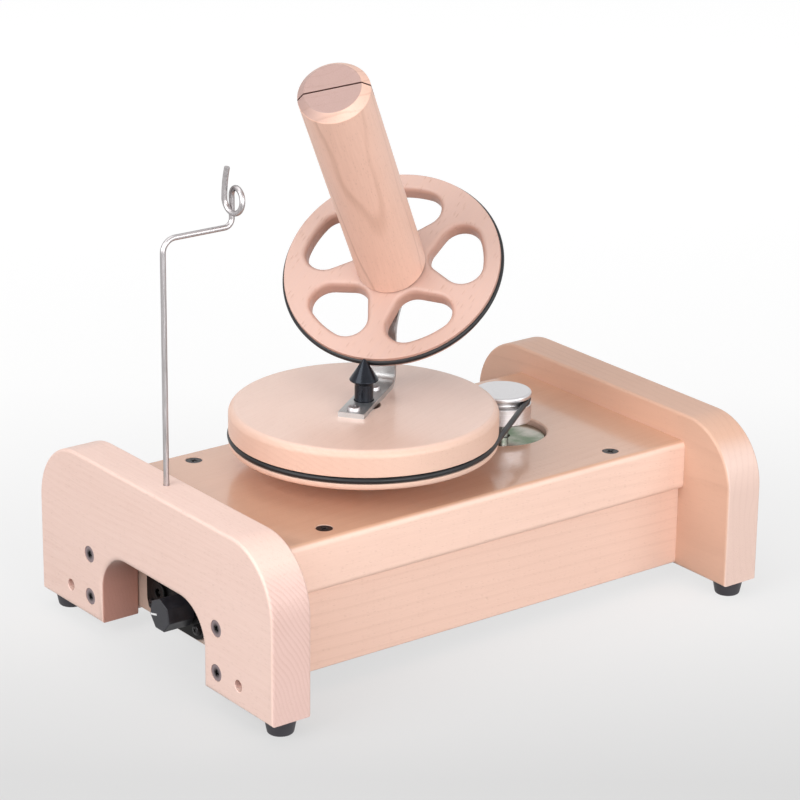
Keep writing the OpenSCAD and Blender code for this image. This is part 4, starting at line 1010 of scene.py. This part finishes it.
sweep_tree, net, given, put = geometry_tree(
    "Round section", {"Radius": "Float", "Sides": "Int", "Material": "Material"}
)
path = net.node("GeometryNodeMeshToCurve", {0: given["Geometry"]}).outputs[0]
section = net.node(
    "GeometryNodeCurvePrimitiveCircle", {"Resolution": given["Sides"], "Radius": given["Radius"]}
).outputs[0]
tube = net.node("GeometryNodeCurveToMesh", {"Curve": path, "Profile Curve": section, "Fill Caps": True})
end_tree(net, given, put, tube.outputs[0])


def swept(points, radius, sides, material, closed):
    count = len(points)
    edges = [(i, (i + 1) % count) for i in range(count if closed else count - 1)]
    mesh = grown(sweep_tree, points, edges, {"Radius": radius, "Sides": sides, "Material": material})
    shape = bmesh.new()
    shape.from_mesh(mesh)
    bmesh.ops.recalc_face_normals(shape, faces=shape.faces)
    shape.to_mesh(mesh)
    shape.free()
    return mesh


print("sweep tree has", len(sweep_tree.nodes), "nodes")

# %% [markdown]
# The belt runs straight between the two wheels and round each of them. The angle at which it leaves them
# follows from the two radii and the distance, as in any belt drive.

# %% Belt and tyre
pulley_low, pulley_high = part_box("drive_pulley")
pulley_r = (pulley_high.x - pulley_low.x) / 2
belt_table_r = table_r - BELT_DEPTH_TABLE
belt_pulley_r = pulley_r - BELT_DEPTH_PULLEY
belt_angle = acos((belt_table_r - belt_pulley_r) / (MOTOR_AXIS.x - TURN_AXIS.x))
belt_flat = turn_points(TURN_AXIS, belt_table_r, belt_angle, 2 * pi - belt_angle, 120)
belt_flat += turn_points(MOTOR_AXIS, belt_pulley_r, -belt_angle, belt_angle, 40)
belt_path = [(p.x, p.y, belt_z) for p in belt_flat]
piece("round_belt", swept(belt_path, BELT_R, 16, rubber, True), rubber, "base", "rubber", "drive_belt")

tyre_path = [bobbin_place @ Vector((p.x, p.y, -TYRE_DEPTH)) for p in circle_loop((0, 0), TYRE_RING_R, 160)]
piece("tyre", swept(tyre_path, TYRE_R, 16, rubber, True), rubber, "bobbin", "rubber", "tyre_ring")

# %% Yarn guide
WIRE_R = 1.65 * MM
GUIDE_H = 146 * MM
GUIDE_ARM = 46.5 * MM
ELBOW_R = 8 * MM
TIP_R = 5 * MM
EYE_Z = 17 * MM
EYE_R = 7.1 * MM
EYE_PITCH = 5 * MM
EYE_STEPS = 48
TAIL_L = 19 * MM
TAIL_LEAN = 3 * MM

guide_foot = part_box("yarn_guide")[0].z - GUIDE_AXIS.z
wire_foot, elbow = Vector((0, 0, guide_foot)), Vector((0, 0, GUIDE_H))
arm_tip, eye = Vector((GUIDE_ARM, 0, GUIDE_H)), Vector((GUIDE_ARM, 0, GUIDE_H + EYE_Z))
tail = eye - Vector((EYE_PITCH, 0, 0))
wire = [wire_foot, *bend(wire_foot, elbow, arm_tip, ELBOW_R, 14), *bend(elbow, arm_tip, eye, TIP_R, 12)]
for i in range(EYE_STEPS + 1):
    share = i / EYE_STEPS
    round_eye = (-EYE_PITCH * share, EYE_R * (cos(2 * pi * share) - 1), EYE_R * sin(2 * pi * share))
    wire.append(eye + Vector(round_eye))
wire += [tail + Vector((0, -TAIL_LEAN * s * s, TAIL_L * s)) for s in (0.25, 0.5, 0.75, 1.0)]
guide_path = [GUIDE_AXIS + point for point in wire]
guide_mesh = swept(guide_path, WIRE_R, 20, wire_steel, False)
piece("guide_wire", guide_mesh, wire_steel, "guide", "steel", "yarn_guide")

# %% [markdown]
# ## Screws and feet
# Twelve black countersunk screws and ten pan heads repeat a few shapes. One head is modelled with its cross
# recess, and a Geometry Nodes tree sets copies of it on points, turned to each screw's own axis and by a
# random amount about it, since no two screws stop at the same turn. The seed is fixed.

# %% Fastener tree
MOST_TURN = pi / 2

fastener_tree, net, given, put = geometry_tree(
    "Set of fasteners", {"Fastener": "Object", "Most turn": "Float", "Seed": "Int", "Material": "Material"}
)
source = net.node("GeometryNodeObjectInfo", {"Object": given["Fastener"], "As Instance": True})
axis_vector = net.node(
    "GeometryNodeInputNamedAttribute", {"Name": "axis"}, data_type="FLOAT_VECTOR"
).outputs[0]
upright = net.node("FunctionNodeAlignRotationToVector", {"Vector": axis_vector}, axis="Z").outputs[0]
chance = net.node("FunctionNodeRandomValue", {"Seed": given["Seed"]}, data_type="FLOAT")
net.feed(chance.inputs[3], given["Most turn"])
own_turn = net.node(
    "FunctionNodeAxisAngleToRotation", {"Axis": (0, 0, 1), "Angle": chance.outputs[1]}
).outputs[0]
turned = net.node("FunctionNodeRotateRotation", {0: upright, 1: own_turn}, rotation_space="LOCAL").outputs[0]
spots = net.node("GeometryNodeInstanceOnPoints", {
    "Points": given["Geometry"], "Instance": source.outputs["Geometry"], "Rotation": turned})
end_tree(net, given, put, spots.outputs[0])


def fastened(name, shape, spots, material, slot, node, seed=1, body="base"):
    """A piece of copies of one shape. A spot is a place and the way that the copy's Z looks there."""
    places, axes = zip(*spots)
    source_object = linked("fastener", settled(shape, "fastener"))
    values = {"Fastener": source_object, "Most turn": MOST_TURN, "Seed": seed, "Material": material}
    mesh = grown(fastener_tree, places, [], values, {"axis": axes})
    bpy.data.objects.remove(source_object)
    piece(name, mesh, material, body, slot, node)


print("fastener tree has", len(fastener_tree.nodes), "nodes")

# %% [markdown]
# A head is spun from its profile, and two crossed wedges cut the recess. The countersunk head sits a hair
# below the wood, as a driven screw does.

# %% Screw shapes
HEAD_STEPS = 40
HEAD_H = 2.8 * MM
HEAD_RIM_H = 0.25 * MM
HEAD_RIM_R = 0.2 * MM
HEAD_SINK = 0.25 * MM
SHANK_R = 2.3 * MM
SHANK_L = 4.5 * MM
RECESS = (5.0 * MM, 1.2 * MM, 1.9 * MM)
WEDGE_NARROW = 0.45
WEDGE_OVER = 0.2
PAN_R = 3.4 * MM
PAN_H = 2 * MM
PAN_SLOPE = 0.5 * MM
PAN_EDGE_R = 0.15 * MM
PAN_DOME_R = 0.9 * MM
PAN_SHANK_R = 1.5 * MM
PAN_SHANK_L = 5 * MM
PAN_RECESS = (3.6 * MM, 0.9 * MM, 1.3 * MM)


def wedge(turn, top, span, width, depth):
    """One bar of a cross recess, wide at the top of the head and narrow below it."""
    mesh = bmesh.new()
    for vert in bmesh.ops.create_cube(mesh, size=1)["verts"]:
        below = vert.co.z < 0
        narrow = WEDGE_NARROW if below else 1.0
        x, y = span * vert.co.x * narrow, width * vert.co.y * narrow
        vert.co = Matrix.Rotation(turn, 3, "Z") @ Vector((x, y, -depth if below else WEDGE_OVER * depth))
        vert.co.z += top
    return mesh


def head_with_recess(profile, top, recess):
    head = lathe(rounded(profile), Matrix.Identity(4), HEAD_STEPS)
    for turn in (0, pi / 2):
        head = cut(head, wedge(turn, top, *recess))
    return head


def pan_head(radius, height, shank_r):
    return head_with_recess([
        (0, -PAN_SHANK_L, 0), (shank_r, -PAN_SHANK_L, 0), (shank_r, 0, 0), (radius, 0, PAN_EDGE_R),
        (radius - PAN_SLOPE, height, PAN_DOME_R), (0, height, 0),
    ], height, PAN_RECESS)


countersunk = head_with_recess([
    (0, -SHANK_L, 0), (SHANK_R, -SHANK_L, 0), (SHANK_R, -HEAD_H, 0),
    (SCREW_HEAD_R, -HEAD_SINK - HEAD_RIM_H, 0), (SCREW_HEAD_R, -HEAD_SINK, HEAD_RIM_R), (0, -HEAD_SINK, 0),
], -HEAD_SINK, RECESS)
small_pan = pan_head(PAN_R, PAN_H, PAN_SHANK_R)
print("screw heads:", len(countersunk.polygons), len(small_pan.polygons), "faces")

# %% Set screws and feet in place
FOOT_SCREW_Z = 4 * MM
FOOT_TOP_R = 9.5 * MM
FOOT_TOP_ROUND = 0.4 * MM
FOOT_LOW_R = 7.5 * MM
FOOT_LOW_ROUND = 1.4 * MM
FOOT_BORE_R = PAN_R + 0.6 * MM
FOOT_BORE_EASE = 0.3 * MM

feet_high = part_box("rubber_feet")[1]
foot_x, foot_y = feet_high.x - FOOT_TOP_R, feet_high.y - FOOT_TOP_R
foot_profile = rounded([
    (PAN_SHANK_R, feet_high.z, 0), (PAN_SHANK_R, FOOT_SCREW_Z, 0), (FOOT_BORE_R, FOOT_SCREW_Z, 0),
    (FOOT_BORE_R, 0, FOOT_BORE_EASE), (FOOT_LOW_R, 0, FOOT_LOW_ROUND),
    (FOOT_TOP_R, feet_high.z, FOOT_TOP_ROUND),
], 5)
foot = lathe(foot_profile, Matrix.Identity(4), 48)
# The lighter rims of the panel screws are a painted reflection.
rim_reflection_screw_steel = surface(
    "Black screws with painted rim reflection", rim_reflection_group, ((0.010, 0.009, 0.010), (0.30, 0.235, 0.245)), (0.34, 0.46),
    0.008 * MM, metallic=0.8, axis=(1, 0, 0), origin=(0, 0, panel_foot + sum(SCREW_ROWS) / 2),
    side=SCREW_Y, row=(SCREW_ROWS[1] - SCREW_ROWS[0]) / 2)

corners = [(sx, sy) for sx in (-1, 1) for sy in (-1, 1)]
panel_spots = [((s * panel_high_x, y * SCREW_Y, panel_foot + row), (s, 0, 0))
               for s in (-1, 1) for y in (-1, 1) for row in SCREW_ROWS]
deck_spots = [((x * DECK_SCREW_X, y * SCREW_Y, deck_high.z), (0, 0, 1)) for x, y in corners]
foot_spots = [((x * foot_x, y * foot_y, 0), (0, 0, 1)) for x, y in corners]
foot_screw_spots = [((x * foot_x, y * foot_y, FOOT_SCREW_Z), (0, 0, -1)) for x, y in corners]
fastened("panel_screw_set", countersunk, panel_spots, rim_reflection_screw_steel, "black_steel", "panel_screws", 3)
fastened("deck_screw_set", countersunk, deck_spots, black_steel, "black_steel", "deck_screws", 8)
fastened("foot_set", foot, foot_spots, foot_rubber, "rubber", "rubber_feet")
fastened("foot_screw_set", small_pan, foot_screw_spots, steel, "steel", "foot_screws", 5)

# %% [markdown]
# ## Drive pulley and friction cone
# The pulley is turned from bright aluminium, with fine rings left by the tool. The cone is black and stands
# still on a slim post in the middle, and the tyre rolls on its slope. Both are spun profiles.

# %% Pulley and cone
SHAFT_R = 4 * MM
CONE_R = 9 * MM
CONE_H = 13.5 * MM
CONE_Z = 16 * MM
POST_R = 5.6 * MM
POST_DEPTH = 4 * MM
CONE_UNDER = 2.5 * MM
CONE_NECK_R = 1.2 * MM
CONE_RIM = 0.4 * MM
CONE_RIM_R = 0.7 * MM
CONE_TIP_R = 0.8 * MM
CONE_TIP_ROUND = 0.5 * MM
PULLEY_TOP_T = 2 * MM
PULLEY_TOP_ROUND = 1.4 * MM
PULLEY_LOW_ROUND = 0.8 * MM

bore_top = pulley_high.z - PULLEY_TOP_T
pulley_profile = rounded([
    (0, bore_top, 0), (SHAFT_R, bore_top, 0), (SHAFT_R, pulley_low.z, 0),
    (pulley_r, pulley_low.z, PULLEY_LOW_ROUND), *groove(pulley_r, BELT_DEPTH_PULLEY, belt_z),
    (pulley_r, pulley_high.z, PULLEY_TOP_ROUND), (0, pulley_high.z, 0),
], 5)
motor_place = Matrix.Translation((MOTOR_AXIS.x, MOTOR_AXIS.y, 0))
piece("pulley", lathe(pulley_profile, motor_place, 96), aluminium, "motor_rotor", "aluminium", "drive_pulley")

table_top = table_high.z
cone_z = table_top + CONE_Z
tip_z = cone_z + CONE_H * (1 - CONE_TIP_R / CONE_R)
cone_profile = rounded([
    (0, table_top - POST_DEPTH, 0), (POST_R, table_top - POST_DEPTH, 0),
    (POST_R, cone_z - CONE_UNDER, CONE_NECK_R), (CONE_R, cone_z - CONE_RIM, CONE_RIM_R),
    (CONE_TIP_R, tip_z, CONE_TIP_ROUND), (0, tip_z, 0),
], 5)
piece("cone", lathe(cone_profile, turn_place, 64), cone_plastic, "base", "black_plastic", "friction_cone")

# %% [markdown]
# ## Knob and control plate
# The knob has seven flat sides, a satin face and a white pointer line that is filled flush. Its body is an
# outline with rounded corners and an eased front edge, like a board. The plate behind it is thin and black.

# %% Knob
KNOB_SIDES = 7
KNOB_R = 10.3 * MM
KNOB_CORNER_R = 1.0 * MM
KNOB_EASE = 0.7 * MM
KNOB_BACK_EASE = 0.4 * MM
KNOB_ANGLE = radians(-12.6)
KNOB_RECESS_R = 7.2 * MM
KNOB_RECESS_L = 4.5 * MM
POINTER_W = 1.2 * MM
POINTER_IN = 2.8 * MM
POINTER_OUT = 9.3 * MM
POINTER_PROUD = 0.05 * MM
POINTER_T = 0.5 * MM
POINTER_EASE = 0.03 * MM

knob_low, knob_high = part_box("speed_knob")
knob_l = knob_high.x - knob_low.x
knob_turns = [KNOB_ANGLE + 2 * pi * i / KNOB_SIDES for i in range(KNOB_SIDES)]
knob_corners = [(KNOB_R * cos(turn), KNOB_R * sin(turn), KNOB_CORNER_R) for turn in knob_turns]


def on_knob(y, z, depth):
    return Vector((knob_low.x + depth, KNOB_AXIS.y + y, KNOB_AXIS.z + z))


def on_knob_back(y, z, depth):
    return Vector((knob_high.x - depth, KNOB_AXIS.y + y, KNOB_AXIS.z + z))


nut_recess = (circle_loop((0, 0), KNOB_RECESS_R, 40), [(0, 0), (0, KNOB_RECESS_L)], True)
knob_wall = eased_wall(knob_l, KNOB_BACK_EASE, KNOB_EASE)
knob_mesh = slab(rounded(knob_corners, 5), knob_wall, on_knob_back, [nut_recess])
piece("knob", knob_mesh, knob_plastic, "knob", "black_plastic", "speed_knob")
pointer_flat = rectangle(POINTER_IN, -POINTER_W / 2, POINTER_OUT, POINTER_W / 2)
pointer_loop = [Matrix.Rotation(KNOB_ANGLE, 2) @ point for point in pointer_flat]
pointer_mesh = slab(pointer_loop, eased_wall(POINTER_T, POINTER_EASE, 0),
                    lambda y, z, depth: on_knob(y, z, depth - POINTER_PROUD))
piece("pointer_line", pointer_mesh, pointer_white, "knob", "white", "knob_pointer")

# %% Control plate, inlet and their screws
PLATE_R = 10 * MM
PLATE_EASE = 0.5 * MM
PLATE_HOLE_IN = 7 * MM
BUSH_R = 4 * MM
INLET_R = 5.5 * MM
INLET_FLANGE_R = 7 * MM
INLET_FLANGE_ROUND = 0.6 * MM
INLET_BORE_R = 2.75 * MM
INLET_BORE_EASE = 0.3 * MM
INLET_BORE_L = 9 * MM
INLET_PIN_R = 1 * MM
INLET_PIN_ROUND = 0.4 * MM
INLET_PIN_IN = 1 * MM

plate_low, plate_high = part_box("control_plate")
inlet_low, inlet_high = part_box("power_inlet")
inlet_y, inlet_z = (inlet_low.y + inlet_high.y) / 2, (inlet_low.z + inlet_high.z) / 2
plate_t = plate_high.x - plate_low.x
plate_corners = rectangle(plate_low.y, plate_low.z, plate_high.y, plate_high.z)
plate_outline = rounded([(*corner, PLATE_R) for corner in plate_corners], 10)
plate_holes = [
    (circle_loop(middle, radius, HOLE_STEPS), eased_wall(plate_t, 0, 0), False)
    for middle, radius in (((KNOB_AXIS.y, KNOB_AXIS.z), BUSH_R), ((inlet_y, inlet_z), INLET_R))
]
piece("plate", slab(plate_outline, eased_wall(plate_t, PLATE_EASE, 0),
                    lambda y, z, depth: Vector((plate_low.x + depth, y, z)), plate_holes),
      black_plastic, "base", "black_plastic", "control_plate")

plate_spots = [((plate_low.x, y, z), (-1, 0, 0))
               for y in (plate_low.y + PLATE_HOLE_IN, plate_high.y - PLATE_HOLE_IN)
               for z in (plate_low.z + PLATE_HOLE_IN, plate_high.z - PLATE_HOLE_IN)]
fastened("plate_screw_set", small_pan, plate_spots, black_steel, "black_steel", "plate_screws", 6)
inlet_place = Matrix.Translation((inlet_low.x, inlet_y, inlet_z)) @ Matrix.Rotation(pi / 2, 4, "Y")
flange_t = plate_low.x - inlet_low.x
inlet_l = inlet_high.x - inlet_low.x
inlet_profile = rounded([
    (0, inlet_l, 0), (INLET_R, inlet_l, 0), (INLET_R, flange_t, 0), (INLET_FLANGE_R, flange_t, 0),
    (INLET_FLANGE_R, 0, INLET_FLANGE_ROUND), (INLET_BORE_R, 0, INLET_BORE_EASE),
    (INLET_BORE_R, INLET_BORE_L, 0), (INLET_PIN_R, INLET_BORE_L, 0),
    (INLET_PIN_R, INLET_PIN_IN, INLET_PIN_ROUND), (0, INLET_PIN_IN, 0),
], 4)
piece("inlet", lathe(inlet_profile, inlet_place, 48), black_plastic, "base", "black_plastic", "power_inlet")

# %% [markdown]
# ## Bracket and bare metal
# The bent bracket has the right shape in the frame, only with knife-sharp edges. A copy of its mesh is
# joined up, its flat faces are made whole and a narrow bevel breaks every sharp edge, as deburring does.

# %% Deburred copies
JOIN_DISTANCE = 0.002 * MM
FLAT_ANGLE = radians(0.4)
BURR_ANGLE = radians(40)
BURR_STEPS = 2
BURR_WIDTHS = {"axle_bracket": 0.35 * MM, "axle_nut": 0.4 * MM}
BRACKET_SCREW_X = 19.5 * MM
BRACKET_PAN = (4.2 * MM, 2.4 * MM, 2 * MM)
STRIP_T = 3 * MM


def deburred(node, width):
    mesh = bmesh.new()
    mesh.from_mesh(frame["nodes"][node].data)
    bmesh.ops.remove_doubles(mesh, verts=mesh.verts, dist=JOIN_DISTANCE)
    bmesh.ops.dissolve_limit(mesh, angle_limit=FLAT_ANGLE, verts=mesh.verts, edges=mesh.edges)
    inner = [edge for edge in mesh.edges if len(edge.link_faces) == 2]
    edges = [edge for edge in inner if edge.calc_face_angle() > BURR_ANGLE]
    bmesh.ops.bevel(mesh, geom=edges, offset=width, offset_type="OFFSET", segments=BURR_STEPS, profile=0.5,
                    affect="EDGES", clamp_overlap=True)
    return mesh


for node, width in BURR_WIDTHS.items():
    piece(node + "_deburred", deburred(node, width), steel, "turntable", "steel", node)

head_turn = Matrix.Translation((TURN_AXIS.x, TURN_AXIS.y, table_top)) @ Matrix.Rotation(lean_way, 4, "Z")
bracket_spots = [(head_turn @ Vector((s * BRACKET_SCREW_X, 0, STRIP_T)), (0, 0, 1)) for s in (-1, 1)]
bracket_pan = pan_head(*BRACKET_PAN)
fastened("bracket_screw_set", bracket_pan, bracket_spots, wire_steel, "steel", "bracket_screws", 4,
         body="turntable")

# %% [markdown]
# ## Everything else in the frame
# The inner pieces keep their CAD shapes. They get the finish of their material slot, so that a look through
# the motor's hole, from below or into an opened model still finds wood, steel and rubber.

# %% Finishes by slot
finish_of_slot = {
    "beech": inner_beech_painted_shade, "steel": steel, "black_steel": black_steel, "rubber": rubber,
    "black_plastic": black_plastic, "zinc": zinc, "aluminium": aluminium, "iron": iron, "board": board_green,
    "components": components, "cable": cable_black, "white": pointer_white, "brass": brass,
}
for part in frame["record"]["subparts"]:
    node = frame["nodes"][part["node"]]
    for slot in node.material_slots:
        slot.material = finish_of_slot[part["material_slot"]]

# %% [markdown]
# ## Studio
# The backdrop is a pale sweep that fades from light grey in front to white behind, painted on the floor by
# place. It shines a little for the camera and for reflections, so it stays pale without more light on the
# object, and it still takes the object's shadow. Five soft lamps stand to the left, in front, to the right,
# beside the camera and overhead.

# %% Floor
FLOOR_R = 9.0
FLOOR_ALBEDO = 0.24
FLOOR_GLOW = 0.905
FLOOR_ROUGHNESS = 0.9
FADE = ((1.50, 0.615), (1.76, 0.78), (2.13, 0.905), (2.65, 0.97), (3.2, 1.0))


def seen_light(net):
    """1 where the camera or a reflection looks, and 0 for the light that falls on other things."""
    rays = net.node("ShaderNodeLightPath").outputs
    beyond = net.math("MAXIMUM", rays["Is Glossy Ray"], rays["Is Transmission Ray"])
    return net.math("MAXIMUM", rays["Is Camera Ray"], beyond)


floor_mesh = bmesh.new()
bmesh.ops.create_circle(floor_mesh, cap_ends=True, segments=96, radius=FLOOR_R)
floor_data = settled(floor_mesh, "Floor")
floor_material, net, shader = principled("Pale sweep")
ahead = Vector((-back.x, -back.y, 0)).normalized()
below_camera = (camera.location.x, camera.location.y, 0)
from_camera = net.parts(placed(net, ahead, below_camera))["X"]
fade_length = FADE[-1][0] - FADE[0][0]
along_fade = net.math("DIVIDE", net.math("SUBTRACT", from_camera, FADE[0][0]), fade_length)
fade = net.node("ShaderNodeValToRGB", {0: along_fade})
while len(fade.color_ramp.elements) < len(FADE):
    fade.color_ramp.elements.new(0.5)
for element, (distance, level) in zip(fade.color_ramp.elements, FADE):
    element.position = (distance - FADE[0][0]) / fade_length
    element.color = (level, level, level, 1.0)
pale = fade.outputs[0]
net.feed(shader.inputs["Base Color"], net.blend(1.0, pale, (FLOOR_ALBEDO,) * 3 + (1.0,), "MULTIPLY"))
shader.inputs["Roughness"].default_value = FLOOR_ROUGHNESS
shader.inputs["Specular IOR Level"].default_value = 0.0
net.feed(shader.inputs["Emission Color"], pale)
net.feed(shader.inputs["Emission Strength"], net.math("MULTIPLY", seen_light(net), FLOOR_GLOW))
floor_data.materials.append(floor_material)
floor = linked("Floor", floor_data)
print("the floor fades over", round(fade_length, 2), "m")

# %% Lamps and world
LAMPS = {
    "Left": ((-1.30, -0.05, 0.80), 1.0, 13.5),
    "Front": ((-0.25, -1.80, 0.45), 1.2, 23.0),
    "Right front": ((1.0, -1.5, 0.70), 0.9, 8.0),
    "Camera side": ((-1.30, -0.95, 0.80), 1.0, 7.0),
    "Overhead": ((-0.25, 0.45, 1.7), 1.2, 6.5),
}
LAMP_AIM = Vector((0.0, 0.0, 0.12))
WORLD_LIGHT = 0.22

for name, (place, size, watts) in LAMPS.items():
    lamp = bpy.data.lights.new(name, "AREA")
    lamp.size = size
    lamp.energy = watts
    stand = linked(name, lamp)
    stand.location = place
    stand.rotation_euler = (LAMP_AIM - stand.location).to_track_quat("-Z", "Y").to_euler()

world = bpy.data.worlds.new("Studio")
bpy.context.scene.world = world
world.use_nodes = True
world.node_tree.nodes.clear()
net = Net(world.node_tree)
sky = net.node("ShaderNodeBackground", {"Color": (1.0, 1.0, 1.0, 1.0)})
net.feed(sky.inputs["Strength"], net.math("MULTIPLY_ADD", seen_light(net), 1.0 - WORLD_LIGHT, WORLD_LIGHT))
net.node("ShaderNodeOutputWorld", {0: sky.outputs[0]})
bpy.context.scene.view_settings.view_transform = "Standard"
print(len(LAMPS), "lamps")
